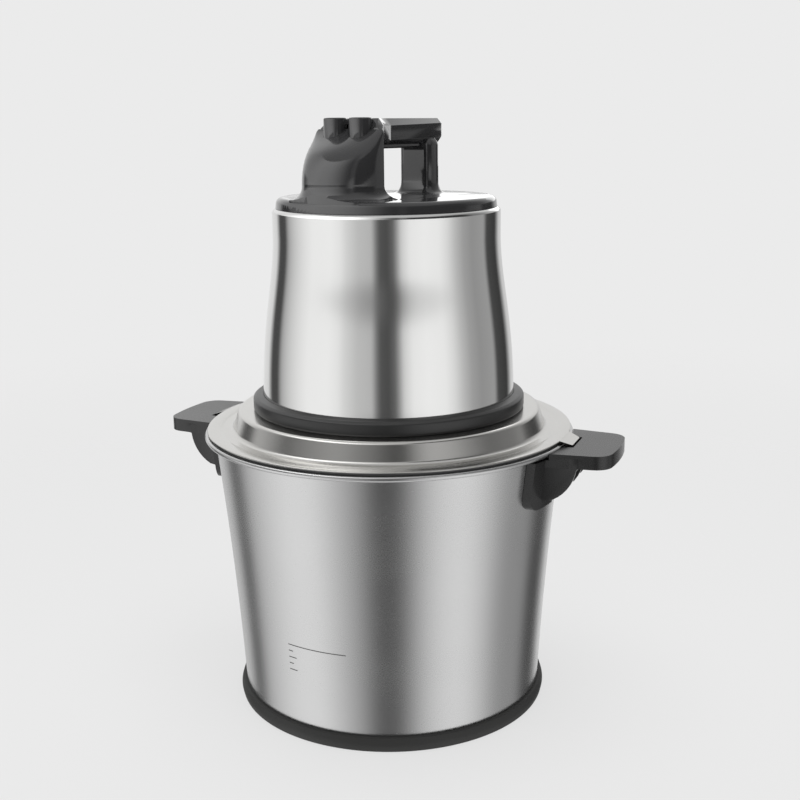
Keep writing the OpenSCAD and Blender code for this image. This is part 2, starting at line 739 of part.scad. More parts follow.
// Where the cord enters, low at the back of the housing
module grommet_place() {
    z = housing_z + 22;
    y = bezier_radius(z);
    translate([0, y - housing_sheet / 2, z]) rotate([-90, 0, 0]) children();
}
function bezier_radius(z) = lookup(z, [for (p = housing_points(0)) [p[1], p[0]]]);

module cord_grommet() {
    waist = housing_sheet / 2 + 0.9;
    color("#262626") head() grommet_place() turned([
        [3.5, -4], [9, -4], [9, -waist], [7, -waist], [7, waist], [9, waist], [8, 4.5], [5.4, 6], [3.5, 6]
    ]);
}

// Plan of the dome: a flat rear edge and a round nose, grown by d on all sides
function dome_plan(reach, half, d, n = 24) =
    let (straight = 0.2 * reach)
    concat(
        [for (i = [0:n]) let (t = 180 * i / n)
            [-(half + d) * cos(t), rear_face - straight - (reach - straight + d) * sin(t)]],
        [[half + d, rear_face + d], [-half - d, rear_face + d]]
    );

// Reach of the dome at height h: upright below, then a round shoulder and a straight slope to the rear edge
function dome_reach_at(h, reach, top, slope, shoulder_radius) =
    let (corner = top - reach * tan(slope))
    let (turn = shoulder_radius * tan((90 - slope) / 2))
    let (low = corner - turn)
    let (high = corner + turn * sin(slope))
    h <= low ? reach :
    h < high ? reach - shoulder_radius + sqrt(max(0, pow(shoulder_radius, 2) - pow(h - low, 2))) :
    max(0.4, (top - h) / tan(slope));
function dome_half_at(h, half, top) =
    let (rise = max(0, h - top + dome_corner))
    half - dome_corner + sqrt(pow(dome_corner, 2) - pow(min(rise, dome_corner * 0.98), 2));
function dome_ring(h, d) = [
    for (p = dome_plan(dome_reach_at(h, dome_reach + d, dome_height + d, dome_slope, dome_shoulder + d),
        dome_half_at(h, dome_half_width + d, dome_height + d), 0))
    [p[0], p[1] > rear_face - 0.01 ? rear_face + d : min(p[1], rear_face + d - 0.1), cap_top + h]
];

// Foot of dome or post: rings that flare out towards the cap by the fillet's radius
function flare(h) = h >= foot_fillet ? 0 : foot_fillet - sqrt(pow(foot_fillet, 2) - pow(foot_fillet - h, 2));

function post_plan(d) =
    let (x = post_half_width - post_corner, f = post_front + post_corner)
    let (r = post_front + post_depth - post_corner, c = post_corner + d)
    concat(
        arc(x, r, c, 0, 90, 4), arc(-x, r, c, 90, 180, 4),
        arc(-x, f, c, 180, 270, 4), arc(x, f, c, 270, 360, 4)
    );

foot_steps = [0, 0.35, 1.2, 2.6, 4.4, 6.2, 8];

module dome_foot() {
    hs = [for (s = foot_steps) s * foot_fillet / 8];
    rings = concat(
        [[for (p = dome_plan(dome_reach, dome_half_width, foot_fillet)) [p[0], p[1], cap_top - 2]]],
        [for (h = hs) [for (p = dome_plan(dome_reach, dome_half_width, flare(h))) [p[0], p[1], cap_top + h]]],
        [[for (p = dome_plan(dome_reach, dome_half_width, 0)) [p[0], p[1], cap_top + dome_seam]]]
    );
    loft(rings);
}

module post_foot() {
    hs = [for (s = foot_steps) s * foot_fillet / 8];
    rings = concat(
        [[for (p = post_plan(flare(0) * 0.62)) [p[0], p[1], cap_top - 2]]],
        [for (h = hs) [for (p = post_plan(flare(h) * 0.62)) [p[0], p[1], cap_top + h]]],
        [[for (p = post_plan(0)) [p[0], p[1], cap_top + post_seam]]]
    );
    loft(rings);
}

module top_cap() {
    spigot = cap_radius - 5 - fit_gap;
    lean = 0.4;
    color("#333333") head() {
        difference() {
            union() {
                difference() {
                    turned(concat(
                        [[spigot - 3, cap_z - 5], [spigot, cap_z - 5], [spigot, cap_z], [cap_radius, cap_z]],
                        arc(cap_radius - lean - cap_round, cap_top - cap_round, cap_round, 0, 90, 6),
                        [[0, cap_top], [0, cap_top - cap_wall], [spigot - 3, cap_top - cap_wall]]
                    ));
                    translate([0, rear_face - dome_reach * 0.62, cap_z]) cylinder(r = 8, h = 30);
                }
                intersection() {
                    difference() {
                        dome_foot();
                        translate([0, 0, cap_top]) linear_extrude(30)
                            polygon(dome_plan(dome_reach, dome_half_width, -moulding_wall));
                    }
                    cylinder(r = cap_radius - 1.4, h = 500);
                }
                post_foot();
                for (x = [-1, 1]) translate([x * boss_x, boss_y, cap_top - 1])
                    cylinder(r = 4, h = dome_seam + 1);
                for (x = [-1, 1]) translate([x * 20, bracket_post_y, cap_top - 1]) {
                    cylinder(r = 3, h = bracket_top_z - 1 - cap_top);
                    cylinder(r = 1.4, h = bracket_top_z + 2 - cap_top);
                }
                board_posts() {
                    translate([0, 0, -board_drop]) cylinder(r = 2.5, h = board_drop + 1);
                    translate([0, 0, -board_drop - 2.4]) cylinder(r = 1.2, h = 4);
                }
                three(tie_radius, 30 + head_turn) translate([0, 0, cap_z - 7])
                    cylinder(r = 5, h = cap_top - cap_z + 6);
            }
            for (x = [-1, 1]) translate([x * boss_x, boss_y, cap_z])
                cylinder(r = screw_radius + fit_gap, h = 60);
            translate([0, post_y, cap_z]) cylinder(r = screw_radius + fit_gap, h = 60);
            three(tie_radius, 30 + head_turn) translate([0, 0, cap_z - 8])
                cylinder(r = screw_radius + fit_gap, h = 12);
        }
    }
}
bracket_post_y = rear_face - 18;
module board_posts() {
    for (x = [-22, 22], y = [11, 39]) translate([x, y, cap_top - cap_wall]) children();
}

// Section of the grip at distance y: half-width w, top at height t, bevel b, underside raised by low
function grip_ring(y, w, t, b = grip_bevel, low = 0) =
    let (z1 = cap_top + t, z0 = cap_top + grip_top - grip_height + low)
    let (rise = grip_rise * max(0, y - neck_end) / (grip_end - neck_end))
    let (foot = min(strip_half_width + 0.1, w - 2), bevel = b - rise * 0.8, shoulder_z = z1 - b - 0.5 + rise)
    [
        [-foot, y, z0], [-w, y, z0 + 3 + rise], [-w, y, shoulder_z], [-w + bevel, y, z1],
        [w - bevel, y, z1], [w, y, shoulder_z], [w, y, z0 + 3 + rise], [foot, y, z0]
    ];
function neck_half_at(t) = grip_half_width + (dome_half_width - 1.2 - grip_half_width) * pow(1 - t, 1.25);

module grip_body() {
    flare_steps = [0.15, 0.32, 0.5, 0.7, 0.86];
    end_steps = [[3.4, 0, 0], [1.7, 0.5, 1.2], [0.6, 1.5, 3], [0, 3.2, 5]];
    loft(concat(
        [grip_ring(rear_face - 1, dome_half_width - 1.2, dome_height + 0.3, dome_corner)],
        [for (t = flare_steps) grip_ring(rear_face + t * neck_length, neck_half_at(t), grip_top,
            grip_bevel + (dome_corner - grip_bevel) * pow(1 - t, 2) * 0.5)],
        [grip_ring(neck_end, grip_half_width, grip_top)],
        [for (e = end_steps)
            grip_ring(grip_end - e[0], grip_half_width - e[1], grip_top - e[1], grip_bevel, e[2])]
    ));
}

// The post above its parting line, drawn in at the top so that the grip's sides pass over it
module post_shaft() {
    draw_in = min(post_half_width - grip_half_width + 0.1, post_corner - 0.4);
    low = grip_top - grip_height - 1;
    steps = [[post_seam, 0], [low, 0], [low + 2, 0.25], [low + 4.2, 1], [grip_top - grip_bevel - 2, 1]];
    loft([for (s = steps) [for (p = post_plan(-draw_in * s[1])) [p[0], p[1], cap_top + s[0]]]]);
}

// Radii of the fillets between the grip's underside and the dome, and between it and the post
dome_fill = 5;
post_fill = 2.5;

// Levels of the buttons: the full disc, and the skirt that runs down inside the dome
button_floor_z = cap_top + grip_top - grip_height + 4.3;
button_disc_z = button_floor_z + button_travel + 0.2;
button_flat = rear_face - moulding_wall - 0.4;
button_pin_y = button_flat - 4.5;

// Half-space in front of the buttons' flat side
module before(y) {
    translate([-50, y - 100, 0]) cube([100, 100, 600]);
}

module handle_shell() {
    steps = 14;
    stations = [for (i = [0:steps]) dome_seam + (dome_height - 0.4 - dome_seam) * sin(90 * i / steps)];
    inner_stations = [for (i = [0:8]) dome_seam - 1 + (dome_height - 7.3 - dome_seam) * sin(90 * i / 8)];
    underside = cap_top + grip_top - grip_height;
    color("#363636") head() difference() {
        union() {
            difference() {
                loft([for (h = stations) dome_ring(h, 0)]);
                difference() {
                    loft([for (h = inner_stations) dome_ring(h, -moulding_wall)]);
                    for (x = [-1, 1]) translate([x * boss_x, boss_y, cap_top]) cylinder(r = 4, h = dome_height);
                    for (x = [-1, 1]) translate([x * button_pitch / 2, button_line, button_flange_top + 0.3])
                        cylinder(r = button_radius + 2.6, h = 30);
                }
            }
            difference() {
                union() {
                    grip_body();
                    post_shaft();
                }
                translate([-7.5, rear_face - 6, underside - 1])
                    cube([15, post_front + post_depth + 3 - rear_face, grip_height - 3]);
            }
            translate([0, rear_face + dome_fill, underside - strip_thickness - dome_fill])
                corner_fill(dome_fill);
            mirror([0, 1, 0]) translate([0, post_fill - post_front, underside - strip_thickness - post_fill])
                corner_fill(post_fill);
        }
        for (x = [-1, 1]) translate([x * button_pitch / 2, button_line, 0]) {
            translate([0, 0, button_floor_z]) cylinder(r = button_radius + running_gap + 0.1, h = 60);
            intersection() {
                translate([0, 0, button_flange_top]) cylinder(r = button_radius + running_gap + 0.1, h = 60);
                before(button_flat + 0.2 - button_line);
            }
        }
        for (x = [-1, 1]) translate([x * boss_x, boss_y, cap_top]) cylinder(r = screw_radius + fit_gap, h = 26);
        translate([0, post_y, cap_top]) cylinder(r = screw_radius + fit_gap, h = 26);
    }
}

// Concave fillet between the grip's underside and the upright in front of it
module corner_fill(r) {
    half = grip_half_width - 2.8;
    difference() {
        translate([-half, -r - 1, 0]) cube([2 * half, r + 1, r + strip_thickness + 1]);
        translate([-half - 1, 0, 0]) rotate([0, 90, 0]) cylinder(r = r, h = 2 * half + 2);
    }
}

module grip_strip() {
    underside = cap_top + grip_top - grip_height;
    from = rear_face + dome_fill + fit_gap;
    length = post_front - rear_face - dome_fill - post_fill - 2 * fit_gap;
    color("#2c2c2c") head() difference() {
        union() {
            translate([-strip_half_width, from, underside - strip_thickness])
                cube([2 * strip_half_width, length, strip_thickness]);
            translate([-7.4, from + 3, underside - 1]) cube([14.8, length - 6, 4]);
        }
        translate([-5, from + 5, underside - 1]) cube([10, length - 10, 8]);
        for (x = [-1, 1]) translate([x * strip_half_width, 0, underside - strip_thickness]) rotate([0, 45, 0])
            translate([-0.7, from - 1, -0.7]) cube([1.4, length + 2, 1.4]);
    }
}

module button(side) {
    top = cap_top + button_top;
    translate([side * button_pitch / 2, button_line, 0]) {
        turned(concat(
            [[0, button_disc_z], [button_radius, button_disc_z]],
            arc(button_radius - 1.2, top - 1.2, 1.2, 0, 90, 3),
            [[button_radius - 3, top - 0.35], [0, top - 0.7]]
        ));
        intersection() {
            union() {
                translate([0, 0, button_flange_top - 0.5])
                    cylinder(r = button_radius, h = button_disc_z - button_flange_top + 1);
                translate([0, 0, button_flange_top - 2]) cylinder(r = button_radius + 0.9, h = 2);
            }
            before(button_flat - button_line);
        }
    }
    translate([side * button_pitch / 2, button_pin_y, bracket_top_z + 2.5])
        cylinder(r = 1.8, h = button_flange_top - bracket_top_z - 3.5);
}

module low_speed_button() {
    color("#2a2a2a") head() button(-1);
}

module high_speed_button() {
    color("#2a2a2a") head() button(1);
}

// Coil spring round a button's pin
module spring(side) {
    wire = 0.4;
    mean = 4;
    turns = 5;
    steps = 12;
    corners = 6;
    low = bracket_top_z + wire + 0.05;
    height = button_flange_top - 2 - bracket_top_z - 2 * wire - 0.1;
    translate([side * button_pitch / 2, button_pin_y, low]) loft([
        for (i = [0:turns * steps]) let (a = 360 * i / steps, z = height * i / (turns * steps))
            [for (k = [0:corners - 1]) let (b = 360 * k / corners)
                [(mean + wire * cos(b)) * cos(a), (mean + wire * cos(b)) * sin(a), z + wire * sin(b)]]
    ]);
}

module low_speed_spring() {
    color("#a8a9a8") head() spring(-1);
}

module high_speed_spring() {
    color("#a8a9a8") head() spring(1);
}

module switch_bracket() {
    low = bracket_top_z - 2;
    color("#6b6a62") head() difference() {
        translate([-22, rear_face - moulding_wall - 20.4, low]) cube([44, 19.6, 2]);
        for (x = [-1, 1]) {
            translate([x * button_pitch / 2, button_pin_y, low - 1]) cylinder(r = 2.5, h = 4);
            translate([x * boss_x, boss_y, low - 1]) cylinder(r = 4.6, h = 4);
            translate([x * 20, bracket_post_y, low - 1]) cylinder(r = 1.4 + fit_gap, h = 4);
        }
    }
}

module microswitches() {
    low = bracket_top_z - 12;
    half = button_radius + 0.5;
    color("#222222") head() for (x = [-1, 1]) translate([x * button_pitch / 2, button_pin_y, low]) difference() {
        union() {
            translate([-half, -4, 0]) cube([2 * half, 6.4, 10]);
            cylinder(r = 1.2, h = 11.2);
            for (t = [-7, 0, 5.5]) translate([t, -1.6, -5]) cube([0.8, 3, 6]);
        }
        for (t = [-6, 6]) translate([t, -5, 3]) rotate([-90, 0, 0]) cylinder(r = 1.1, h = 10);
    }
}

module circuit_board() {
    top = cap_top - cap_wall - board_drop;
    color("#2f5b3c") head() difference() {
        union() {
            translate([-26, 8, top - 1.6]) cube([52, 34, 1.6]);
            translate([-18, 14, top - board_depth]) cube([12, 8, board_depth - 1]);
            translate([2, 16, top - board_depth + 1]) cylinder(r = 4.5, h = board_depth - 2);
            translate([14, 22, top - board_depth + 2]) cylinder(r = 3.2, h = board_depth - 3);
            translate([-16, 28, top - board_depth + 3]) cube([22, 6, board_depth - 4]);
        }
        board_posts() translate([0, 0, -board_drop - 3]) cylinder(r = 1.2 + fit_gap, h = 10);
    }
}

module tie_screws() {
    color("#9a9b99") three(tie_radius) translate([0, 0, base_floor_z - 3])
        screw(screw_radius, cap_z - base_floor_z, 3.6, 2.2);
}

module top_handle_screws() {
    color("#9a9b99") head() {
        for (x = [-1, 1]) translate([x * boss_x, boss_y, cap_top - cap_wall]) screw(screw_radius, 24, 3.6, 2.2);
        translate([0, post_y, cap_top - cap_wall]) screw(screw_radius, 26, 3.6, 2.2);
    }
}

// Ball bearing, drawn as its two rings with a recessed shield between them
module bearing(inner, outer, z, height) {
    third = (outer - inner) / 4;
    color("#b9bab8") turned([
        [inner, z], [inner + third, z], [inner + third, z + 0.6], [outer - third, z + 0.6], [outer - third, z],
        [outer, z], [outer, z + height], [outer - third, z + height], [outer - third, z + height - 0.6],
        [inner + third, z + height - 0.6], [inner + third, z + height], [inner, z + height]
    ]);
}

module shaft_seal() {
    low = spigot_bottom_z + 0.2;
    inner = output_radius + running_gap;
    outer = output_radius + 5;
    color("#2b2b2b") turned([
        [inner + 0.8, low], [outer, low], [outer, low + 3.8], [inner + 2.5, low + 3.8], [inner + 2.5, low + 1.6],
        [inner + 1, low + 2.6], [inner, low + 2.2]
    ]);
}

module output_bearing() {
    bearing(output_radius + running_gap, output_bearing_radius, bearing_z, bearing_height);
}

module lower_bearing() {
    bearing(motor_shaft_radius + running_gap, lower_bearing_radius, gearbox_top_z + 2, 7);
}

module upper_bearing() {
    bearing(motor_shaft_radius + running_gap, upper_bearing_radius, bracket_z, 7);
}

module gearbox_housing() {
    wall = 3.4;
    inner = ring_outer_radius + fit_gap;
    boss = lower_bearing_radius + 4;
    boss_top = gearbox_top_z + 9.4;
    color("#b4b5b3") difference() {
        union() {
            turned([
                [inner, base_floor_z], [inner + wall + 2, base_floor_z], [inner + wall, base_floor_z + 3],
                [inner + wall, gearbox_top_z + 1.5], [inner + wall - 2, gearbox_top_z + 3.5],
                [boss + 1, gearbox_top_z + 3.5], [boss, boss_top], [lower_bearing_radius - 2, boss_top],
                [lower_bearing_radius - 2, gearbox_top_z], [inner, gearbox_top_z]
            ]);
            for (a = [15:30:345]) rotate([0, 0, a]) translate([boss - 1, -0.9, gearbox_top_z + 3])
                cube([inner + wall - boss - 2, 1.8, 3]);
            four() translate([0, 0, base_floor_z]) cylinder(r = 6, h = iron_z - base_floor_z);
        }
        translate([0, 0, gearbox_top_z + 2]) cylinder(r = lower_bearing_radius + fit_gap, h = 20);
        translate([0, 0, base_floor_z - 1]) cylinder(r = inner, h = gearbox_top_z - base_floor_z + 1);
        four() {
            translate([0, 0, base_floor_z - 1]) cylinder(r = screw_radius + fit_gap, h = 14);
            translate([0, 0, iron_z - 14]) cylinder(r = screw_radius + fit_gap, h = 15);
        }
    }
}

module gearbox_screws() {
    color("#9a9b99") four() translate([0, 0, base_floor_z - 3]) screw(screw_radius, 14, 3.6, 2.2);
}

module ring_gear() {
    color("#dcdcd2") difference() {
        ring(gear_module * ring_teeth / 2 - 4, ring_outer_radius, base_floor_z, gearbox_top_z - base_floor_z);
        translate([0, 0, base_floor_z - 1]) rotate([0, 0, 180 / ring_teeth])
            linear_extrude(gearbox_top_z - base_floor_z + 2)
            polygon(tooth_ring(ring_teeth, dedendum, addendum, -backlash, 2));
        translate([0, 0, base_floor_z - 1])
            cylinder(r = gear_module * ring_teeth / 2 + dedendum + 0.4, h = gear_z - base_floor_z + 0.4);
    }
}

module planet_gear(index) {
    color("#c9c4b4") rotate([0, 0, index * 120]) translate([planet_orbit, 0, gear_z]) rotate([0, 0, -index * 120])
        rotate([0, 0, 10 + index * 120]) difference() {
            linear_extrude(gear_width) polygon(tooth_ring(planet_teeth, addendum, dedendum, backlash / 2, 3));
            translate([0, 0, -1]) cylinder(r = planet_pin_radius + running_gap, h = gear_width + 2);
            for (z = [-1, gear_width - 1.5]) translate([0, 0, z]) ring(5.4, 9.4, 0, 2.5);
        }
}

module planet_gear_1() {
    planet_gear(0);
}

module planet_gear_2() {
    planet_gear(1);
}

module planet_gear_3() {
    planet_gear(2);
}

module sun_pinion() {
    color("#9b9c9a") translate([0, 0, gear_z]) difference() {
        linear_extrude(gear_width) polygon(tooth_ring(sun_teeth, addendum, dedendum, backlash / 2, 3));
        translate([0, 0, -1]) cylinder(r = motor_shaft_radius + fit_gap, h = gear_width + 2);
    }
}

module output_shaft() {
    color("#bfc0be") difference() {
        turned([
            [0, drive_tip_z], [output_radius - 1, drive_tip_z], [output_radius, drive_tip_z + 1],
            [output_radius, base_floor_z + 0.3], [output_radius + 3, base_floor_z + 0.3],
            [output_radius + 3, carrier_z], [output_radius, carrier_z],
            [output_radius, carrier_z + carrier_thickness], [0, carrier_z + carrier_thickness]
        ]);
        for (a = [0:60:300]) rotate([0, 0, a + 30]) translate([drive_flats / 2, -10, drive_tip_z - 1])
            cube([5, 20, spigot_bottom_z - drive_tip_z]);
    }
}

module planet_carrier() {
    color("#a7a8a6") {
        difference() {
            translate([0, 0, carrier_z]) cylinder(r = planet_orbit + 10, h = carrier_thickness);
            translate([0, 0, carrier_z - 1]) cylinder(r = output_radius + fit_gap, h = carrier_thickness + 2);
            for (a = [60, 180, 300]) rotate([0, 0, a]) translate([planet_orbit - 1, 0, carrier_z - 1])
                cylinder(r = 6, h = carrier_thickness + 2);
        }
        for (a = [0, 120, 240]) rotate([0, 0, a]) translate([planet_orbit, 0, carrier_z + 1])
            cylinder(r = planet_pin_radius, h = gear_z + gear_width + 0.5 - carrier_z - 1);
    }
}

module motor_shaft() {
    color("#bfc0be") turned([
        [0, gear_z], [motor_shaft_radius - 0.6, gear_z], [motor_shaft_radius, gear_z + 0.6],
        [motor_shaft_radius, shaft_end_z - 0.8], [motor_shaft_radius - 0.8, shaft_end_z], [0, shaft_end_z]
    ]);
}

module cooling_fan() {
    reach = stator_half_width - 8;
    blades = 11;
    color("#3b3b3b") translate([0, 0, fan_z]) difference() {
        union() {
            cylinder(r = reach, h = 1.6);
            cylinder(r = 10, h = 9);
            intersection() {
                for (a = [0:360 / blades:359]) rotate([0, 0, a]) translate([reach * 0.62, reach * 0.42, 0])
                    difference() {
                        cylinder(r = reach * 0.62, h = 9);
                        translate([0, 0, -1]) cylinder(r = reach * 0.62 - 1.4, h = 12);
                        translate([-reach * 2, -reach * 0.42, -1]) cube([reach * 4, reach * 2, 12]);
                    }
                ring(9, reach, 0, 9);
            }
        }
        translate([0, 0, -1]) cylinder(r = motor_shaft_radius + fit_gap, h = 12);
    }
}

module armature() {
    slots = 12;
    color("#7d7e80") translate([0, 0, iron_z]) difference() {
        cylinder(r = armature_radius, h = iron_height);
        translate([0, 0, -1]) cylinder(r = motor_shaft_radius + fit_gap, h = iron_height + 2);
        for (a = [0:360 / slots:359]) rotate([0, 0, a]) translate([armature_radius - 5.5, 0, -1]) {
            cylinder(r = 3, h = iron_height + 2, $fn = 24);
            translate([0, -1, 0]) cube([8, 2, iron_height + 2]);
        }
    }
}

module armature_windings() {
    color("#b4622f") for (z = [iron_z - coil_overhang, iron_z + iron_height]) difference() {
        turned([
            [motor_shaft_radius + 3, z], [armature_radius - 6, z], [armature_radius - 3, z + 3],
            [armature_radius - 3, z + coil_overhang - 3],
            [armature_radius - 4, z + coil_overhang], [motor_shaft_radius + 3, z + coil_overhang]
        ]);
        for (a = [15:30:345]) rotate([0, 0, a]) translate([armature_radius - 4, -0.5, z - 1])
            cube([4, 1, coil_overhang + 2]);
    }
}

module commutator() {
    bars = 24;
    color("#c27a45") difference() {
        ring(motor_shaft_radius + fit_gap, commutator_radius, commutator_z, commutator_height);
        for (a = [0:360 / bars:359]) rotate([0, 0, a]) translate([commutator_radius - 1, -0.25, commutator_z - 1])
            cube([2, 0.5, commutator_height + 2]);
    }
}

// Section of the two-pole stator: square with cut corners, a round bore and two side windows
module stator_section() {
    difference() {
        intersection() {
            square(2 * stator_half_width, center = true);
            circle(r = column_offset * sqrt(2) + 7.5);
        }
        circle(r = armature_radius + 0.6);
        for (a = [0, 180]) rotate([0, 0, a]) intersection() {
            circle(r = stator_half_width - 8);
            translate([armature_radius * 0.8, -60]) square([60, 120]);
        }
    }
}

module stator() {
    color("#76777a") translate([0, 0, iron_z]) difference() {
        linear_extrude(iron_height) stator_section();
        four() translate([0, 0, -1]) cylinder(r = screw_radius + fit_gap, h = iron_height + 2);
    }
}

module field_coils() {
    inner = armature_radius + 2.2;
    outer = stator_half_width - 8.6;
    color("#a9592b") for (a = [0, 180]) rotate([0, 0, a]) difference() {
        ring(inner, outer, iron_z - coil_overhang + 1, iron_height + 2 * coil_overhang - 2);
        translate([-50, -60, 0]) cube([100, 66, 600]);
        translate([-armature_radius * 0.8 - 0.4, -60, iron_z - 0.4])
            cube([armature_radius * 1.6 + 0.8, 120, iron_height + 0.8]);
    }
}

module upper_bracket() {
    foot_z = iron_z + iron_height;
    color("#b4b5b3") difference() {
        union() {
            translate([0, 0, bracket_z]) linear_extrude(3) intersection() {
                square(2 * stator_half_width, center = true);
                circle(r = column_offset * sqrt(2) + 7.5);
            }
            translate([0, 0, bracket_z]) cylinder(r = upper_bearing_radius + 4, h = bracket_height);
            four() translate([0, 0, foot_z]) cylinder(r = 6, h = bracket_z - foot_z + 1);
        }
        translate([0, 0, bracket_z - 1]) cylinder(r = upper_bearing_radius + fit_gap, h = 8);
        translate([0, 0, bracket_z]) cylinder(r = motor_shaft_radius + 2, h = 12);
        four() translate([0, 0, foot_z - 1]) cylinder(r = screw_radius + fit_gap, h = 60);
        for (a = [0, 180]) rotate([0, 0, a]) translate([20, -14, bracket_z - 1]) cube([18, 28, 6]);
    }
}

module brush_holders() {
    low = commutator_z + 1;
    from = commutator_radius + 3;
    slot = brush_width + 2 * fit_gap;
    color("#6e5326") for (a = [0, 180]) rotate([0, 0, a]) difference() {
        translate([-brush_holder_width / 2, from, low]) cube([brush_holder_width, 22, bracket_z - low]);
        translate([-slot / 2, from - 7, low + 3 - fit_gap]) cube([slot, 27, brush_height + 2 * fit_gap]);
    }
}

module carbon_brushes() {
    low = commutator_z + 4;
    from = commutator_radius - 4;
    color("#2f2f31") for (a = [0, 180]) rotate([0, 0, a]) difference() {
        translate([-brush_width / 2, from, low]) cube([brush_width, brush_length + 4.3, brush_height]);
        translate([0, 0, low - 1]) cylinder(r = commutator_radius + 0.3, h = brush_height + 2);
    }
}

module motor_screws() {
    color("#9a9b99") four() translate([0, 0, bracket_z + 3]) mirror([0, 0, 1])
        screw(screw_radius, bracket_z + 3 - iron_z + 12, 3.6, 2.2);
}

foot_ring();
bowl();
blade_spindle();
side_handle_right();
side_handle_left();
handle_studs();
blade_shaft();
lower_blade();
blade_spacer();
upper_blade();
blade_nut();
lid();
lid_seal();
lid_bush();
motor_base();
motor_housing();
top_cap();
handle_shell();
grip_strip();
cord_grommet();
switch_bracket();
microswitches();
circuit_board();
tie_screws();
top_handle_screws();
shaft_seal();
output_bearing();
gearbox_housing();
gearbox_screws();
ring_gear();
lower_bearing();
stator();
field_coils();
upper_bracket();
upper_bearing();
brush_holders();
carbon_brushes();
motor_screws();
low_speed_button();
high_speed_button();
low_speed_spring();
high_speed_spring();
output_shaft();
planet_carrier();
planet_gear_1();
planet_gear_2();
planet_gear_3();
motor_shaft();
sun_pinion();
cooling_fan();
armature();
armature_windings();
commutator();
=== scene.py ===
"""Electric food chopper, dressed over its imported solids.

A steel bowl on a rubber ring carries a pressed lid and a polished motor head with a black
moulded cap, two push buttons and a carrying handle. Sizes of pieces are millimetres; the
camera, the light, the cards and the floor are placed in metres.
"""

import math

import bmesh
import bpy
from mathutils import Matrix, Vector


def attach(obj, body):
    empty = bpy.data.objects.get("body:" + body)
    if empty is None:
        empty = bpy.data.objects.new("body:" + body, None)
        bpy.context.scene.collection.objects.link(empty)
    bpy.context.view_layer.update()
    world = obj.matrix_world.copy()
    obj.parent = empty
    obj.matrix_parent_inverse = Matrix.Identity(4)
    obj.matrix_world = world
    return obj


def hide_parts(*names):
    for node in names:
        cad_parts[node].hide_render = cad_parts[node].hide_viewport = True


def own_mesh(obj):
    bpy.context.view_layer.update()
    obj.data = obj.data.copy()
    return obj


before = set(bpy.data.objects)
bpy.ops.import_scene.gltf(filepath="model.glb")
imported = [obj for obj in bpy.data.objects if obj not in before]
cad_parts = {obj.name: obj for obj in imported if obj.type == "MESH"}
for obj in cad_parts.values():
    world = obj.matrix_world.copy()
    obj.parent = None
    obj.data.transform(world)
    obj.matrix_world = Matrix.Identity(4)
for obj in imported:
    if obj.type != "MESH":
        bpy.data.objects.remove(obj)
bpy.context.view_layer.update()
MM = 0.001

# Camera, fitted to the photograph: as high as the handle's top, looking 13 degrees down
CAMERA_PLACE = (0.33217, -0.82214, 0.44100)
CAMERA_TURNS = ((21.4415, "Z"), (76.7720, "X"), (-0.6206, "Z"))
CAMERA_LENS = 52.80
CAMERA_SIDE = math.atan2(CAMERA_PLACE[1], CAMERA_PLACE[0])

# The room: a plain pale backdrop, and soft panels and dark flags round the object as upright
# strips, which only its surfaces mirror. Each strip is (degrees from the camera's side,
# anticlockwise seen from above, and the brightness there).
BACKDROP = "ebebeb"
# Mirrored by the motor shell
LEVEL_STRIPS = [
    (-180, 0.84), (-142, 0.84), (-132, 0.08), (-120, 0.08), (-113, 0.50), (-106, 0.68), (-98, 0.84),
    (-88, 1.00), (-78, 1.12), (-56, 1.14), (-46, 1.05), (-40, 0.88), (-28, 0.68), (-15, 0.62),
    (-10.5, 0.24), (-7, 0.11), (0, 0.09), (6, 0.16), (9, 0.35), (14, 0.82), (22, 1.08), (36, 1.14),
    (52, 1.10), (61, 0.93), (70, 0.66), (80, 0.46), (92, 0.37), (111, 0.42), (117, 0.08), (137, 0.05),
    (144, 0.35), (151, 0.68),
]
# Mirrored by the flared bowl
LOW_STRIPS = [
    (-180, 0.80), (-140, 0.66), (-131, 0.12), (-120, 0.10), (-112, 0.62), (-98, 0.84), (-86, 1.00),
    (-74, 1.12), (-56, 1.12), (-48, 0.98), (-36, 0.72), (-24, 0.48), (-16, 0.24), (-10, 0.08), (2, 0.06),
    (8, 0.15), (16, 0.46), (26, 0.80), (36, 1.00), (50, 1.10), (60, 1.02), (72, 0.78), (84, 0.46),
    (94, 0.38), (112, 0.41), (120, 0.08), (136, 0.05), (144, 0.45), (152, 0.90),
]
# Mirrored by the leaning side of the lid
UPPER_STRIPS = [
    (-180, 0.90), (-148, 0.95), (-125, 0.72), (-108, 0.50), (-94, 0.34), (-82, 0.14), (-71, 0.24),
    (-61, 0.31), (-51, 0.37), (-41, 0.42), (-32, 0.38), (-23, 0.29), (-14, 0.24), (-6, 0.16), (3, 0.09),
    (11, 0.10), (20, 0.37), (29, 0.56), (38, 0.55), (48, 0.48), (57, 0.36), (68, 0.24), (78, 0.16),
    (90, 0.21), (103, 0.22), (119, 0.35), (139, 0.64), (150, 0.85),
]
# Heights, as the sine of the elevation, between which one part of the room fades into the next
LOW_FADE = (-0.18, -0.34)
UPPER_FADE = (0.09, 0.15)
CEILING_FADE, CEILING_LEVEL = (0.62, 0.85), 0.6
GROUND_FADE, GROUND_LEVEL = (-0.62, -0.85), 0.8

# Reflector cards at the height of the handle, bright to its left and behind it, black to its
# right: name, first and last degrees from the camera's side, top edge, distance, brightness,
# and the share of the width over which the ends fade
CARD_LOW = 0.402
CARDS = (
    ("white_card", -125, 10, 0.70, 0.27, 2.0, 0.45),
    ("black_card", 10, 84, 0.56, 0.275, 0.05, 0.15),
    ("back_card", 124, 205, 0.50, 0.28, 1.8, 0.15),
)

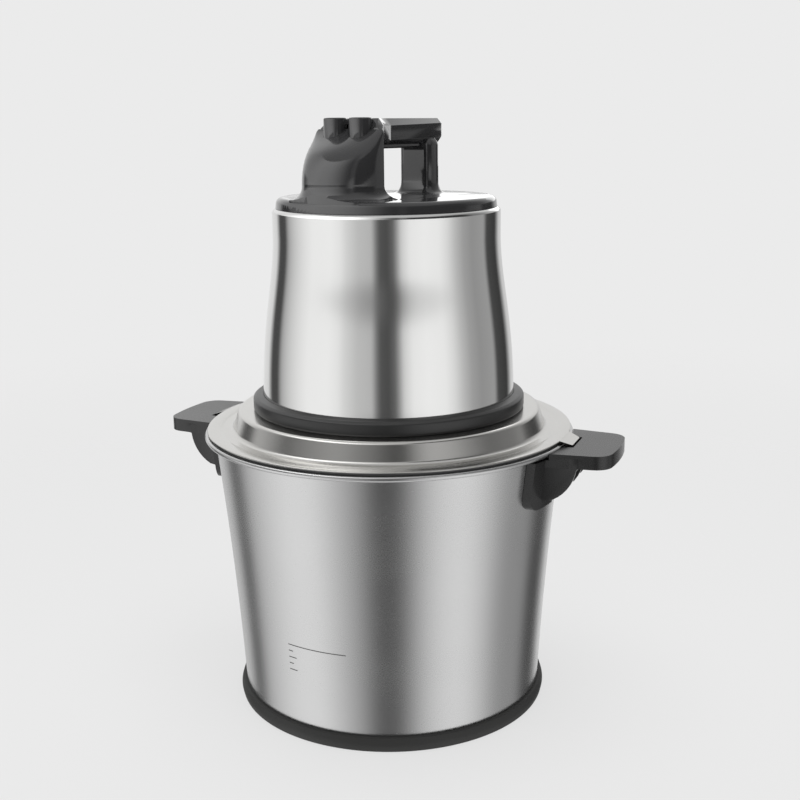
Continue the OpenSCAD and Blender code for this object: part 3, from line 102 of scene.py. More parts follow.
# Floor: its radius, the distances between which it fades into the room, how far it lies under
# the foot, and the share of plain backdrop in it, which leaves only a faint shadow
FLOOR_RADIUS, FLOOR_FADE, FLOOR_DROP, FLOOR_GLOW = 6, (0.35, 1.6), 0.0005, 0.8

# Bowl: flared wall with a slight sag inwards, a rounded corner, a flat ledge and a rolled bead
BOWL_SHEET = 1
BOWL_Z = 2
WALL_RISE, WALL_LOW_RADIUS, WALL_FLARE, WALL_SAG = 211.2, 117.4, 17.4, 7.6
CORNER = 9
CORNER_Z = BOWL_Z + CORNER
LEDGE_Z = 213.2
LEDGE_BEND = 3
LEDGE_BEND_Z = LEDGE_Z - BOWL_SHEET - LEDGE_BEND
BEAD, BEAD_RADIUS = 2, 140

# Foot ring, with a groove on its underside and a hollow seat for the bowl's corner
FOOT_INNER, FOOT_OUTER, FOOT_TOP = 97.4, 122.2, 10.9
GROOVE_INNER, GROOVE_OUTER, GROOVE_DEPTH = 106.4, 110.4, 0.8
SEAT, SEAT_RADIUS = 9.1, 108.75

# Fill mark: height of its long tick, its place round the bowl, and each tick's drop and length
MARK_Z = 74
MARK_TURN = CAMERA_SIDE - math.radians(27)
MARK_TICKS = ((0, 48), (5, 4), (10, 7), (15, 4), (20, 7))
MARK_START, MARK_HALF_WIDTH, MARK_LIFT = -24, 0.35, 0.06

# Lid: plateau with a leaning side, a flange with a soft step, and two tabs over the handles
LID_SHEET = 0.8
LID_HOLE, LID_TOP, LID_EDGE_RADIUS = 30.3, 230.2, 139.2
LID_UNDERSIDE = LEDGE_Z + 2
LID_SHOULDER, LID_SHOULDER_RADIUS = 3.5, 112.9
LID_LEAN = math.degrees(math.atan2(3, 9))
LID_FOOT, LID_FOOT_RADIUS, LID_FOOT_Z = 4, 123.27, 219.3
LID_STEP, LID_STEP_START, LID_STEP_END, LID_STEP_END_Z = 2.2, 5, 7.8, 216
TAB_HALF, TAB_TIP_HALF, TAB_REACH, TAB_CORNER = 15.1, 11.6, 9.6, 1.6
TAB_START, TAB_DROOP = 138.8, 20

# Seal: a pad on the ledge with a thin edge inwards, and a lip that hangs inside the wall
SEAL_INNER, SEAL_OUTER = 128.5, 138.4
SEAL_EDGE_Z = LID_UNDERSIDE - 0.75
LIP_INNER, LIP_OUTER, LIP_Z = 129.5, 132.2, 205.2

# Base ring of the head: a spigot in the lid's hole, a slot for the shell and a hub for the shaft
BASE_RADIUS, BASE_Z = 104.1, LID_TOP
SPIGOT_RADIUS, SPIGOT_Z = 27, 222.2
HUB_OUTER, HUB_MIDDLE, HUB_INNER, HUB_Z = 14.1, 11.1, 8.5, 226.2
UNDER_RADIUS, UNDER_Z = 97.1, 233
BASE_FLOOR_Z = 236
SLOT_OUTER, SLOT_INNER, SLOT_Z = 96.4, 95.4, 238.5
BASE_LIP_OUTER, BASE_LIP_INNER, BASE_LIP_Z = 94.6, 92, 247.9

# Motor shell: its shoulder, and its flare as (radius, height) of foot, two guides and neck
SHELL_SHEET = 0.8
SHELL_FLARE = ((96.3, 241.9), (94.6, 303.26), (86.0, 325.68), (85.3, 359.9))
SHELL_SHOULDER, SHELL_OPENING, SHELL_TOP = 3.6, 76.4, 381.3


def linear(code):
    """Turns an sRGB hex colour into linear RGBA."""
    parts = [int(code[i:i + 2], 16) / 255 for i in (0, 2, 4)]
    return tuple(c / 12.92 if c <= 0.04045 else ((c + 0.055) / 1.055) ** 2.4 for c in parts) + (1.0,)


def add(tree, kind, inputs=(), **settings):
    """Adds one node, sets its properties and fills its inputs with values or links."""
    made = tree.nodes.new(kind)
    for key, value in settings.items():
        setattr(made, key, value)
    for key, value in dict(inputs).items():
        if isinstance(value, bpy.types.NodeSocket):
            tree.links.new(value, made.inputs[key])
        else:
            made.inputs[key].default_value = value
    return made


def empty_material(name):
    """A material and its node tree, without nodes."""
    made = bpy.data.materials.new(name)
    made.use_nodes = True
    made.node_tree.nodes.clear()
    return made, made.node_tree


def linked(name, data):
    """An object for a camera, a light or a mesh, linked to the scene."""
    made = bpy.data.objects.new(name, data)
    bpy.context.scene.collection.objects.link(made)
    return made


def solid(made, name, material):
    """Turns a bmesh into an object with one material."""
    mesh = bpy.data.meshes.new(name)
    made.to_mesh(mesh)
    made.free()
    mesh.materials.append(material)
    return linked(name, mesh)


def on_ring(radius, turn, z):
    """A point at a radius, an azimuth in radians and a height."""
    return (radius * math.cos(turn), radius * math.sin(turn), z)


def ribbon(made, rows):
    """Adds the faces between two rows of points to a bmesh."""
    low, high = [[made.verts.new(point) for point in row] for row in rows]
    return [made.faces.new((low[i], low[i + 1], high[i + 1], high[i])) for i in range(len(low) - 1)]


def make_camera():
    data = bpy.data.cameras.new("photo_camera")
    data.lens = CAMERA_LENS
    data.sensor_width = 36
    data.clip_end = 50
    camera = linked("photo_camera", data)
    pose = Matrix.Translation(CAMERA_PLACE)
    for degrees, axis in CAMERA_TURNS:
        pose = pose @ Matrix.Rotation(math.radians(degrees), 4, axis)
    camera.matrix_world = pose
    bpy.context.scene.camera = camera
    bpy.context.scene.view_settings.view_transform = "Standard"


make_camera()


def make_world():
    """The room of strips, with an even ceiling and ground; the camera itself sees the backdrop."""
    world = bpy.data.worlds.new("studio")
    bpy.context.scene.world = world
    world.use_nodes = True
    tree = world.node_tree
    tree.nodes.clear()
    where = add(tree, "ShaderNodeTexCoord").outputs["Generated"]
    turned = add(tree, "ShaderNodeVectorRotate", {"Vector": where, "Angle": -CAMERA_SIDE},
                 rotation_type="Z_AXIS").outputs[0]
    parts = add(tree, "ShaderNodeSeparateXYZ", {"Vector": turned}).outputs
    angle = add(tree, "ShaderNodeMath", {0: parts["Y"], 1: parts["X"]}, operation="ARCTAN2").outputs[0]
    place = add(tree, "ShaderNodeMapRange", {
        "Value": angle, "From Min": -math.pi, "From Max": math.pi}).outputs[0]
    strips = []
    for table in (LEVEL_STRIPS, LOW_STRIPS, UPPER_STRIPS):
        bands = add(tree, "ShaderNodeValToRGB", {"Fac": place})
        ramp = bands.color_ramp
        while len(ramp.elements) > 1:
            ramp.elements.remove(ramp.elements[-1])
        for i, (degrees, level) in enumerate(table):
            at = (degrees + 180) / 360
            stop = ramp.elements[0] if i == 0 else ramp.elements.new(at)
            stop.position = at
            stop.color = (level, level, level, 1)
        strips.append(bands.outputs["Color"])
    room = strips[0]
    for (start, end), beyond in (
        (LOW_FADE, strips[1]),
        (UPPER_FADE, strips[2]),
        (CEILING_FADE, (CEILING_LEVEL, CEILING_LEVEL, CEILING_LEVEL, 1)),
        (GROUND_FADE, (GROUND_LEVEL, GROUND_LEVEL, GROUND_LEVEL, 1)),
    ):
        share = add(tree, "ShaderNodeMapRange", {
            "Value": parts["Z"], "From Min": start, "From Max": end}).outputs[0]
        room = add(tree, "ShaderNodeMix", {0: share, 6: room, 7: beyond}, data_type="RGBA").outputs[2]
    seen = add(tree, "ShaderNodeLightPath").outputs["Is Camera Ray"]
    shown = add(tree, "ShaderNodeMix", {0: seen, 6: room, 7: linear(BACKDROP)},
                data_type="RGBA").outputs[2]
    back = add(tree, "ShaderNodeBackground", {"Color": shown, "Strength": 1.0})
    add(tree, "ShaderNodeOutputWorld", {"Surface": back.outputs[0]})


make_world()


def make_light(name, place, target, side, watts):
    """A soft square panel light at a place, turned to a target."""
    data = bpy.data.lights.new(name, "AREA")
    data.shape = "SQUARE"
    data.size = side
    data.energy = watts
    panel = linked(name, data)
    way = Vector(target) - Vector(place)
    panel.matrix_world = Matrix.Translation(place) @ way.to_track_quat("-Z", "Y").to_matrix().to_4x4()
    panel.visible_glossy = False


make_light("ceiling_panel", place=(0.1, -0.2, 1.6), target=(0, 0, 0.2), side=1.2, watts=12)


def make_card(name, start, end, top, distance, level, fade):
    """A curved card round the head, which only gloss mirrors; its ends fade into the room.

    It rises with the head, so that it stays above the steel shell, which mirrors the room.
    """
    steps = 24
    made = bmesh.new()
    across = made.loops.layers.uv.new("across")
    turns = [CAMERA_SIDE + math.radians(start + (end - start) * i / steps) for i in range(steps + 1)]
    rows = [[on_ring(distance, turn, z) for turn in turns] for z in (CARD_LOW, top)]
    for i, face in enumerate(ribbon(made, rows)):
        for loop, place in zip(face.loops, ((i, 0), (i + 1, 0), (i + 1, 1), (i, 1))):
            loop[across].uv = (place[0] / steps, place[1])
    shine, tree = empty_material(name)
    place = add(tree, "ShaderNodeTexCoord").outputs["UV"]
    parts = add(tree, "ShaderNodeSeparateXYZ", {0: place}).outputs
    inward = add(tree, "ShaderNodeMath", {0: parts[0], 1: 1.0}, operation="PINGPONG").outputs[0]
    middle = add(tree, "ShaderNodeMath", {0: inward, 1: 0.5}, operation="PINGPONG").outputs[0]
    shown = add(tree, "ShaderNodeMapRange", {"Value": middle, "From Min": 0.0, "From Max": fade},
                interpolation_type="SMOOTHSTEP").outputs[0]
    glow = add(tree, "ShaderNodeEmission", {"Color": (1, 1, 1, 1), "Strength": level})
    clear = add(tree, "ShaderNodeBsdfTransparent")
    both = add(tree, "ShaderNodeMixShader", {0: shown, 1: clear.outputs[0], 2: glow.outputs[0]})
    add(tree, "ShaderNodeOutputMaterial", {"Surface": both.outputs[0]})
    piece = solid(made, name, shine)
    for way in ("visible_camera", "visible_diffuse", "visible_shadow", "visible_transmission"):
        setattr(piece, way, False)
    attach(piece, "motor_head")


for values in CARDS:
    make_card(*values)


def make_floor():
    """A wide pale sheet that fades into the pale room."""
    paint, tree = empty_material("pale_floor_paint")
    where = add(tree, "ShaderNodeTexCoord").outputs["Object"]
    away = add(tree, "ShaderNodeVectorMath", {0: where}, operation="LENGTH").outputs["Value"]
    near, far = FLOOR_FADE
    fade = add(tree, "ShaderNodeMapRange", {"Value": away, "From Min": near, "From Max": far},
               interpolation_type="SMOOTHSTEP").outputs[0]
    grain = add(tree, "ShaderNodeTexNoise", {"Vector": where, "Scale": 220.0, "Detail": 3.0}).outputs[0]
    bump = add(tree, "ShaderNodeBump", {"Height": grain, "Strength": 0.05, "Distance": 0.0003}).outputs[0]
    matt = add(tree, "ShaderNodeBsdfPrincipled", {
        "Base Color": linear("f2f2f2"), "Roughness": 0.75, "Specular IOR Level": 0.2, "Normal": bump})
    clear = add(tree, "ShaderNodeBsdfTransparent")
    glow = add(tree, "ShaderNodeEmission", {"Color": linear(BACKDROP), "Strength": 1.0})
    lifted = add(tree, "ShaderNodeMixShader", {0: FLOOR_GLOW, 1: matt.outputs[0], 2: glow.outputs[0]})
    both = add(tree, "ShaderNodeMixShader", {0: fade, 1: lifted.outputs[0], 2: clear.outputs[0]})
    add(tree, "ShaderNodeOutputMaterial", {"Surface": both.outputs[0]})
    made = bmesh.new()
    bmesh.ops.create_circle(made, cap_ends=True, radius=FLOOR_RADIUS, segments=96)
    floor = solid(made, "studio_floor", paint)
    floor.location.z = -FLOOR_DROP
    floor.visible_glossy = False


make_floor()


def surface(name, colour, roughness, spread, grain, relief, tint, metallic=0.0, stretch=(1, 1, 1),
            ring=False, **constants):
    """A finish with a fine procedural pattern.

    grain is the pattern's size and relief its depth, in millimetres; spread is how far the
    pattern moves the roughness, tint how far it darkens the colour; stretch scales it along
    each axis; ring lays it round the machine's axis, as brushing or turning does.
    """
    made, tree = empty_material(name)
    where = add(tree, "ShaderNodeTexCoord").outputs["Object"]
    if ring:
        parts = add(tree, "ShaderNodeSeparateXYZ", {0: where}).outputs
        flat = add(tree, "ShaderNodeCombineXYZ", {0: parts[0], 1: parts[1]}).outputs[0]
        out = add(tree, "ShaderNodeVectorMath", {0: flat}, operation="LENGTH").outputs["Value"]
        along = add(tree, "ShaderNodeMath", {0: out, 1: parts[2]}, operation="ADD").outputs[0]
        way = add(tree, "ShaderNodeVectorMath", {0: flat}, operation="NORMALIZE").outputs[0]
        slow = add(tree, "ShaderNodeVectorMath", {0: way, 3: 0.06}, operation="SCALE").outputs[0]
        lift = add(tree, "ShaderNodeCombineXYZ", {2: along}).outputs[0]
        where = add(tree, "ShaderNodeVectorMath", {0: slow, 1: lift}, operation="ADD").outputs[0]
    fitted = add(tree, "ShaderNodeMapping", {
        "Vector": where, "Scale": Vector(stretch) * (1 / (grain * MM))}).outputs[0]
    fine = add(tree, "ShaderNodeTexNoise", {"Vector": fitted, "Scale": 1.0, "Detail": 4.0}).outputs[0]
    broad = add(tree, "ShaderNodeTexNoise", {"Vector": where, "Scale": 18.0, "Detail": 2.0}).outputs[0]
    both = add(tree, "ShaderNodeMath", {0: fine, 1: broad}, operation="ADD").outputs[0]
    rough = add(tree, "ShaderNodeMapRange", {
        "Value": both, "From Min": 0.6, "From Max": 1.4,
        "To Min": max(roughness - spread, 0.02), "To Max": roughness + spread}).outputs[0]
    base = Vector(linear(colour)[:3])
    shade = add(tree, "ShaderNodeMix", {0: both, 6: (*base, 1), 7: (*(base * (1 - tint)), 1)},
                data_type="RGBA", clamp_factor=True).outputs[2]
    bump = add(tree, "ShaderNodeBump", {
        "Height": fine, "Strength": 1.0, "Distance": relief * MM}).outputs[0]
    inputs = {"Base Color": shade, "Roughness": rough, "Metallic": metallic, "Normal": bump}
    inputs.update({key.replace("_", " "): value for key, value in constants.items()})
    shader = add(tree, "ShaderNodeBsdfPrincipled", inputs)
    add(tree, "ShaderNodeOutputMaterial", {"Surface": shader.outputs[0]})
    return made


# The stack's sheets and the wire have their real sizes. Brushing, grinding and moulding leave
# marks of a few hundredths of a millimetre, which are drawn coarser here, so that they show.
FINISHES = {
    # Stainless bowl, brushed round its axis: soft upright bands of light, fine level lines
    "brushed_stainless_bowl": dict(
        colour="d0d0d0", metallic=1.0, roughness=0.26, spread=0.03, grain=0.9, relief=0.0002,
        tint=0.05, ring=True),
    # Electrolytic etching on the bowl: the fill mark, matt grey that catches no light bands
    "etched_steel": dict(
        colour="6e6e6d", metallic=0.6, roughness=0.55, spread=0.05, grain=0.6, relief=0.002, tint=0.1),
    # Stainless motor shell, drawn and polished: sharp dark and light strips, barely any lines
    "polished_stainless_shell": dict(
        colour="dededd", metallic=1.0, roughness=0.10, spread=0.02, grain=0.8, relief=0.0005,
        tint=0.02, ring=True),
    # Stainless lid, pressed and satin polished: softer reflections than the shell
    "pressed_stainless_lid": dict(
        colour="d6d5d2", metallic=1.0, roughness=0.20, spread=0.05, grain=0.7, relief=0.002,
        tint=0.05, ring=True),
    # ABS cap, handle and buttons, moulded in polished steel: deep black with clear highlights
    "gloss_moulded_abs": dict(
        colour="333334", roughness=0.10, spread=0.02, grain=1.2, relief=0.0004, tint=0.06,
        IOR=1.52, Coat_Weight=0.3, Coat_Roughness=0.06),
    # Phenolic side handles, moulded with a fine spark-eroded texture: dull grey sheen on black
    "textured_moulded_phenolic": dict(
        colour="2a2a2a", roughness=0.27, spread=0.05, grain=0.6, relief=0.02, tint=0.15),
    # Polypropylene base ring, moulded with a satin face: soft broad highlights
    "satin_moulded_base": dict(
        colour="2f2f2f", roughness=0.34, spread=0.06, grain=0.8, relief=0.006, tint=0.12),
    # Moulded rubber foot: matt charcoal with a dusty bloom
    "moulded_rubber_foot": dict(
        colour="373736", roughness=0.62, spread=0.08, grain=0.9, relief=0.02, tint=0.2),
    # Silicone lid seal: smooth, slightly waxy grey
    "silicone_seal": dict(
        colour="5a5b5b", roughness=0.42, spread=0.05, grain=1.5, relief=0.003, tint=0.08),
    # Rubber cord grommet and shaft seal: soft black with a low sheen
    "moulded_rubber_black": dict(
        colour="222222", roughness=0.55, spread=0.08, grain=0.7, relief=0.01, tint=0.15),
    # Stainless blades, ground flat: fine straight grinding lines
    "ground_stainless_blade": dict(
        colour="d9d8d5", metallic=1.0, roughness=0.18, spread=0.06, grain=0.5, stretch=(0.05, 1, 1),
        relief=0.004, tint=0.06),
    # Stainless spindle and shafts, turned on a lathe: close rings round the axis
    "turned_stainless": dict(
        colour="cfcecb", metallic=1.0, roughness=0.22, spread=0.05, grain=0.35, relief=0.006,
        tint=0.08, ring=True),
    # Glass-filled nylon of spacer, nut, bush, switches and fan: black with a faint mottled bloom
    "moulded_black_nylon": dict(
        colour="252526", roughness=0.44, spread=0.1, grain=1.4, relief=0.01, tint=0.2),
    # Zinc-plated steel screws: cool bright metal with cloudy patches
    "zinc_plated_screw": dict(
        colour="b9bcc0", metallic=1.0, roughness=0.30, spread=0.1, grain=0.8, relief=0.003, tint=0.15),
    # Bearing steel, ground: bright with a very fine grain
    "ground_bearing_steel": dict(
        colour="c6c5c3", metallic=1.0, roughness=0.16, spread=0.04, grain=0.4, relief=0.002, tint=0.06),
    # Die-cast aluminium gearbox and bracket: pale grey with a grainy cast skin
    "die_cast_aluminium": dict(
        colour="b4b5b3", metallic=1.0, roughness=0.45, spread=0.1, grain=1.1, relief=0.03, tint=0.18),
    # Natural nylon gears, moulded: milky cream that lets a little light in
    "natural_nylon_gear": dict(
        colour="ded9c6", roughness=0.38, spread=0.06, grain=1.6, relief=0.004, tint=0.06,
        Subsurface_Weight=0.15),
    # Hobbed steel pinion and carrier: darker, oiled machining marks
    "machined_gear_steel": dict(
        colour="8d8c89", metallic=1.0, roughness=0.28, spread=0.08, grain=0.5, relief=0.006, tint=0.2),
    # Electrical steel of stator and armature: blue-grey sheets stacked 0.5 mm thick
    "stacked_electrical_steel": dict(
        colour="6c6f74", metallic=1.0, roughness=0.40, spread=0.12, grain=0.5,
        stretch=(0.02, 0.02, 1), relief=0.05, tint=0.35),
    # Copper of the commutator and of the windings in enamelled 0.6 mm wire: brown, close ridges
    "enamelled_copper_wire": dict(
        colour="a4592c", metallic=1.0, roughness=0.28, spread=0.08, grain=0.6,
        stretch=(0.08, 0.08, 1), relief=0.12, tint=0.3),
    # Pressed carbon brushes: soft grey-black with a graphite glint
    "pressed_carbon": dict(
        colour="2b2b2d", metallic=0.3, roughness=0.5, spread=0.12, grain=0.6, relief=0.02, tint=0.3),
    # Resin laminate of the switch bracket, board and brush holders: brown-green with a woven cast
    "resin_laminate": dict(
        colour="5f5a34", roughness=0.4, spread=0.08, grain=0.5, relief=0.01, tint=0.2),
    # Spring wire, drawn: bright with faint clouding
    "drawn_spring_wire": dict(
        colour="b7b8b9", metallic=1.0, roughness=0.2, spread=0.06, grain=0.3, relief=0.002, tint=0.1),
}
FINISH = {name: surface(name, **settings) for name, settings in FINISHES.items()}


def arc(cx, cy, radius, start, end, steps=8):
    """Points on an arc, angles in degrees."""
    turns = [math.radians(start + (end - start) * i / steps) for i in range(steps + 1)]
    return [(cx + radius * math.cos(t), cy + radius * math.sin(t)) for t in turns]


def rounded(corners):
    """Closed outline whose corners (x, y, fillet) are drawn as arcs; the fillet may be left out."""
    path = []
    for i, corner in enumerate(corners):
        here = Vector(corner[:2])
        if len(corner) < 3:
            path.append(tuple(here))
            continue
        fillet = corner[2]
        back = (Vector(corners[i - 1][:2]) - here).normalized()
        on = (Vector(corners[(i + 1) % len(corners)][:2]) - here).normalized()
        half = back.angle(on) / 2
        centre = here + (back + on).normalized() * (fillet / math.sin(half))
        first = here + back * (fillet / math.tan(half)) - centre
        last = here + on * (fillet / math.tan(half)) - centre
        a = math.atan2(first.y, first.x)
        turn = (math.atan2(last.y, last.x) - a + math.pi) % (2 * math.pi) - math.pi
        path += arc(centre.x, centre.y, fillet, math.degrees(a), math.degrees(a + turn), 4)
    return path


def put(made, name, finish, body, nodes, sharp=32):
    """Turns a bmesh in metres into a piece that rides on a body in place of CAD nodes.

    Its edges stay sharp where they turn by more than the given degrees.
    """
    bmesh.ops.recalc_face_normals(made, faces=made.faces)
    piece = solid(made, name, FINISH[finish])
    piece.data.shade_smooth()
    piece.data.set_sharp_from_angle(angle=math.radians(sharp))
    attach(piece, body)
    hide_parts(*nodes)
    return piece


def lathe(outline, steps=240):
    """Turns a closed outline of (radius, height) in millimetres into a bmesh round the axis."""
    made = bmesh.new()
    rings = []
    for i in range(steps):
        turn = 2 * math.pi * i / steps
        rings.append([made.verts.new(on_ring(r * MM, turn, z * MM)) for r, z in outline])
    count = len(outline)
    for i in range(steps):
        here, beyond = rings[i], rings[(i + 1) % steps]
        for k in range(count):
            j = (k + 1) % count
            on_axis = outline[k][0] < 1e-6 and outline[j][0] < 1e-6
            if not on_axis:
                made.faces.new((here[k], beyond[k], beyond[j], here[j]))
    bmesh.ops.remove_doubles(made, verts=made.verts, dist=1e-7)
    return made


def dressed(node, finish, body, bevel):
    """A finer copy of a CAD node: flat areas joined into whole faces and the edges softened."""
    made = bmesh.new()
    made.from_mesh(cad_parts[node].data)
    bmesh.ops.remove_doubles(made, verts=made.verts, dist=2e-6)
    bmesh.ops.dissolve_limit(made, angle_limit=math.radians(0.6), verts=made.verts, edges=made.edges)
    piece = put(made, node + "_dressed", finish, body, [node])
    if bevel:
        edge = piece.modifiers.new("softened_edges", "BEVEL")
        edge.width = bevel * MM
        edge.segments = 2
        edge.limit_method = "ANGLE"
        edge.angle_limit = math.radians(38)
    return piece


def make_foot_ring():
    """Foot ring: fullest halfway up, with a groove on its underside."""
    outline = rounded([
        (FOOT_INNER, 0, 0.6), (GROOVE_INNER, 0, 0.3), (GROOVE_INNER, GROOVE_DEPTH),
        (GROOVE_OUTER, GROOVE_DEPTH), (GROOVE_OUTER, 0, 0.3), (FOOT_OUTER - 1.3, 0, 0.8),
        (FOOT_OUTER, FOOT_TOP - 5.5, 6), (FOOT_OUTER - 1.6, FOOT_TOP - 0.5, 0.6),
        (FOOT_OUTER - 3, FOOT_TOP, 0.4), (SEAT_RADIUS + SEAT, FOOT_TOP)])
    seat = arc(SEAT_RADIUS, CORNER_Z, SEAT, 0, -90)
    made = lathe(outline + seat + [(FOOT_INNER, CORNER_Z - SEAT)])
    put(made, "foot_ring_moulded", "moulded_rubber_foot", "bowl_body", ["foot_ring"])


def wall(z):
    """Outer radius of the bowl's wall at a height."""
    s = (z - BOWL_Z) / WALL_RISE
    return WALL_LOW_RADIUS + WALL_FLARE * s - WALL_SAG * s * (1 - s)


def make_bowl():
    """Bowl: flared wall, flat ledge and rolled bead."""
    corner_radius = wall(CORNER_Z) - CORNER
    bend_radius = wall(LEDGE_BEND_Z) + LEDGE_BEND
    start, steps = CORNER_Z + 1, 24
    heights = [start + (LEDGE_BEND_Z - start) * i / steps for i in range(steps + 1)]
    outline = (
        [(0, BOWL_Z)] + arc(corner_radius, CORNER_Z, CORNER, -90, 0)
        + [(wall(z), z) for z in heights]
        + arc(bend_radius, LEDGE_BEND_Z, LEDGE_BEND, 180, 90, 6)
        + arc(BEAD_RADIUS, LEDGE_Z - BEAD, BEAD, 150, 450, 20)
        + arc(bend_radius, LEDGE_BEND_Z, LEDGE_BEND + BOWL_SHEET, 90, 180, 6)
        + [(wall(z) - BOWL_SHEET, z) for z in reversed(heights)]
        + arc(corner_radius, CORNER_Z, CORNER - BOWL_SHEET, 0, -90) + [(0, BOWL_Z + BOWL_SHEET)])
    put(lathe(outline, 320), "bowl_spun", "brushed_stainless_bowl", "bowl_body", ["bowl"], 40)


def make_fill_mark():
    """Fill mark: one long and four short plain ticks, etched on the bowl's front."""
    made = bmesh.new()
    for drop, length in MARK_TICKS:
        steps = max(4, length)
        rows = []
        for z in (MARK_Z - drop - MARK_HALF_WIDTH, MARK_Z - drop + MARK_HALF_WIDTH):
            out = wall(z) + MARK_LIFT
            turns = [MARK_TURN + (length * i / steps + MARK_START) / out for i in range(steps + 1)]
            rows.append([on_ring(out * MM, turn, z * MM) for turn in turns])
        ribbon(made, rows)
    mark = solid(made, "fill_mark_etched", FINISH["etched_steel"])
    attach(mark, "bowl_body")


def lid_face(depth):
    """The lid's sheet from its hole to its flange, at a depth below the upper face."""
    flange_z = LID_FOOT_Z - LID_FOOT - depth
    return (
        [(LID_HOLE, LID_TOP - depth)]
        + arc(LID_SHOULDER_RADIUS, LID_TOP - LID_SHOULDER, LID_SHOULDER - depth, 90, LID_LEAN)
        + arc(LID_FOOT_RADIUS, LID_FOOT_Z, LID_FOOT + depth, 180 + LID_LEAN, 270)
        + arc(LID_FOOT_RADIUS + LID_STEP_START, flange_z + LID_STEP, LID_STEP, 270, 290, 3)
        + [(LID_FOOT_RADIUS + LID_STEP_END, LID_STEP_END_Z - depth)])


def make_lid():
    """Lid: raised plateau, soft step in the flange and two bent tabs."""
    edge = arc(LID_EDGE_RADIUS, LID_UNDERSIDE, LID_SHEET, 90, 0, 4)
    made = lathe(lid_face(0) + edge + lid_face(LID_SHEET)[::-1], 320)
    tab = rounded([
        (0, -TAB_HALF), (TAB_REACH, -TAB_TIP_HALF, TAB_CORNER), (TAB_REACH, TAB_TIP_HALF, TAB_CORNER),
        (0, TAB_HALF)])
    for side in (0, math.pi):
        turn = (Matrix.Rotation(side, 4, "Z") @ Matrix.Translation((TAB_START * MM, 0, LID_UNDERSIDE * MM))
                @ Matrix.Rotation(math.radians(TAB_DROOP), 4, "Y"))
        low = [made.verts.new(turn @ Vector((x * MM, y * MM, 0))) for x, y in tab]
        high = [made.verts.new(turn @ Vector((x * MM, y * MM, LID_SHEET * MM))) for x, y in tab]
        made.faces.new(low)
        made.faces.new(high[::-1])
        for i in range(len(tab)):
            j = (i + 1) % len(tab)
            made.faces.new((low[i], low[j], high[j], high[i]))
    put(made, "lid_pressed", "pressed_stainless_lid", "lid_body", ["lid"], 40)


def make_seal():
    """Seal: pad on the ledge and a lip that hangs inside the wall."""
    outline = rounded([
        (SEAL_OUTER, LEDGE_Z, 0.3), (SEAL_OUTER, LID_UNDERSIDE, 0.3), (LIP_INNER + 1.6, LID_UNDERSIDE),
        (SEAL_INNER, SEAL_EDGE_Z, 0.2), (LIP_INNER, SEAL_EDGE_Z), (LIP_INNER, LIP_Z, 0.4),
        (LIP_OUTER, LIP_Z, 0.4), (LIP_OUTER - 1.3, LEDGE_Z - 3), (LIP_OUTER - 1.3, LEDGE_Z)])
    put(lathe(outline), "lid_seal_moulded", "silicone_seal", "lid_body", ["lid_seal"])


def make_base():
    """Base ring of the head: upright side, rounded shoulder and a slot for the steel shell."""
    shell_foot_z = SHELL_FLARE[0][1]
    outline = rounded([
        (HUB_INNER, HUB_Z), (HUB_MIDDLE, HUB_Z), (HUB_MIDDLE, SPIGOT_Z, 0.4),
        (SPIGOT_RADIUS, SPIGOT_Z, 1), (SPIGOT_RADIUS, UNDER_Z, 0.6), (UNDER_RADIUS, UNDER_Z),
        (UNDER_RADIUS, BASE_Z, 0.3), (BASE_RADIUS - 0.9, BASE_Z, 0.8), (BASE_RADIUS, BASE_Z + 1.8, 1),
        (BASE_RADIUS, BASE_Z + 9, 1.8), (BASE_RADIUS - 2.5, shell_foot_z - 1, 1.4),
        (SLOT_OUTER, shell_foot_z, 0.3), (SLOT_OUTER, SLOT_Z), (SLOT_INNER, SLOT_Z),
        (BASE_LIP_OUTER, BASE_LIP_Z, 0.4), (BASE_LIP_INNER, BASE_LIP_Z, 0.4),
        (BASE_LIP_INNER, BASE_FLOOR_Z), (HUB_OUTER, BASE_FLOOR_Z), (HUB_OUTER, HUB_Z + 1.8),
        (HUB_INNER, HUB_Z + 1.8)])
    put(lathe(outline), "motor_base_moulded", "satin_moulded_base", "motor_head", ["motor_base"])


def shell_flare(t):
    """The motor shell's flare, a cubic curve from its foot to its neck."""
    weights = ((1 - t) ** 3, 3 * t * (1 - t) ** 2, 3 * t * t * (1 - t), t ** 3)
    return tuple(sum(w * e[k] for w, e in zip(weights, SHELL_FLARE)) for k in (0, 1))


def make_shell():
    """Motor shell: flared side, rounded shoulder and a wide opening under the cap."""
    steps = 28
    flare = [shell_flare(i / steps) for i in range(steps + 1)]
    foot_radius, neck_radius = SHELL_FLARE[0][0], SHELL_FLARE[-1][0]
    bend = (neck_radius - SHELL_SHOULDER, SHELL_TOP - SHELL_SHOULDER)
    outline = (
        [(foot_radius, SLOT_Z)] + flare + arc(*bend, SHELL_SHOULDER, 0, 90)
        + [(SHELL_OPENING, SHELL_TOP), (SHELL_OPENING, SHELL_TOP - SHELL_SHEET)]
        + arc(*bend, SHELL_SHOULDER - SHELL_SHEET, 90, 0)
        + [(r - SHELL_SHEET, z) for r, z in reversed(flare)] + [(foot_radius - SHELL_SHEET, SLOT_Z)])
    put(lathe(outline, 320), "motor_housing_drawn", "polished_stainless_shell", "motor_head",
        ["motor_housing"], 40)


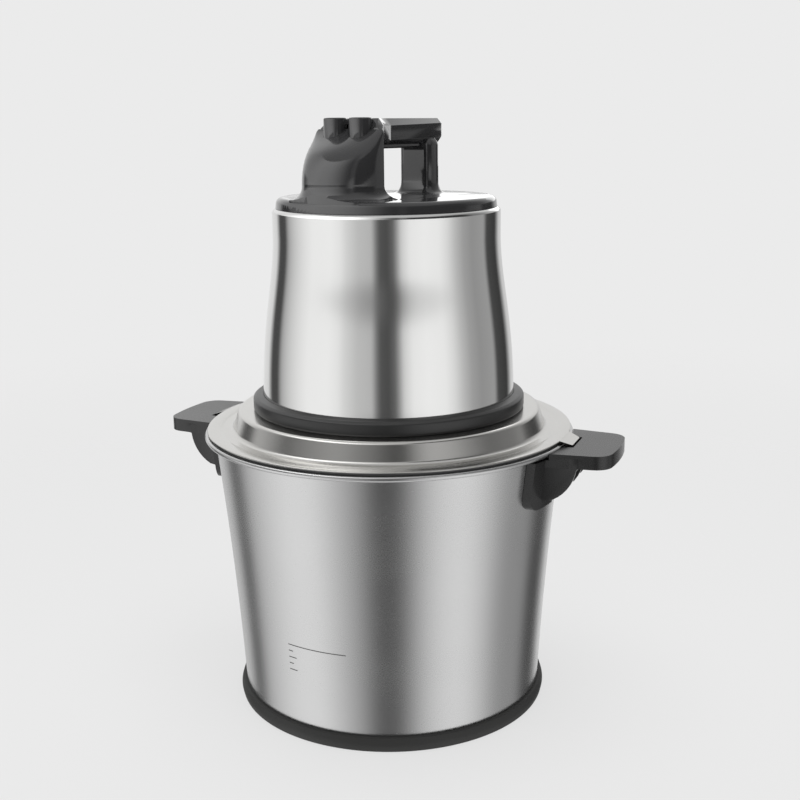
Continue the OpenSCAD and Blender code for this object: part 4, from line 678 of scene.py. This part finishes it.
make_foot_ring()
make_bowl()
make_fill_mark()
make_lid()
make_seal()
make_base()
make_shell()

# Moulded pieces, each with the width of its softened edges
for node, finish, body, bevel in (
    ("top_cap", "gloss_moulded_abs", "motor_head", 0.3),
    ("handle_shell", "gloss_moulded_abs", "motor_head", 0.5),
    ("grip_strip", "gloss_moulded_abs", "motor_head", 0.3),
    ("low_speed_button", "gloss_moulded_abs", "low_speed_key", 0),
    ("high_speed_button", "gloss_moulded_abs", "high_speed_key", 0),
    ("side_handle_right", "textured_moulded_phenolic", "bowl_body", 0.6),
    ("side_handle_left", "textured_moulded_phenolic", "bowl_body", 0.6),
    ("cord_grommet", "moulded_rubber_black", "motor_head", 0.2),
):
    dressed(node, finish, body, bevel)

# Springs: the buttons' coils on the bracket, each given a mesh of its own
for speed in ("low", "high"):
    coil = dressed(speed + "_speed_spring", "drawn_spring_wire", "motor_head", 0)
    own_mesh(coil)

# The other nodes keep their CAD meshes and get the finish of what they are made of
KEPT = {
    "turned_stainless": ("blade_spindle", "blade_shaft", "output_shaft", "motor_shaft"),
    "ground_stainless_blade": ("lower_blade", "upper_blade"),
    "moulded_black_nylon": ("blade_spacer", "blade_nut", "lid_bush", "microswitches", "cooling_fan"),
    "zinc_plated_screw": (
        "handle_studs", "tie_screws", "top_handle_screws", "gearbox_screws", "motor_screws"),
    "moulded_rubber_black": ("shaft_seal",),
    "resin_laminate": ("switch_bracket", "circuit_board", "brush_holders"),
    "ground_bearing_steel": ("output_bearing", "lower_bearing", "upper_bearing"),
    "die_cast_aluminium": ("gearbox_housing", "upper_bracket"),
    "natural_nylon_gear": ("ring_gear", "planet_gear_1", "planet_gear_2", "planet_gear_3"),
    "machined_gear_steel": ("planet_carrier", "sun_pinion"),
    "stacked_electrical_steel": ("stator", "armature"),
    "enamelled_copper_wire": ("field_coils", "armature_windings", "commutator"),
    "pressed_carbon": ("carbon_brushes",),
}
for finish, names in KEPT.items():
    for name in names:
        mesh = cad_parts[name].data
        mesh.materials.clear()
        mesh.materials.append(FINISH[finish])
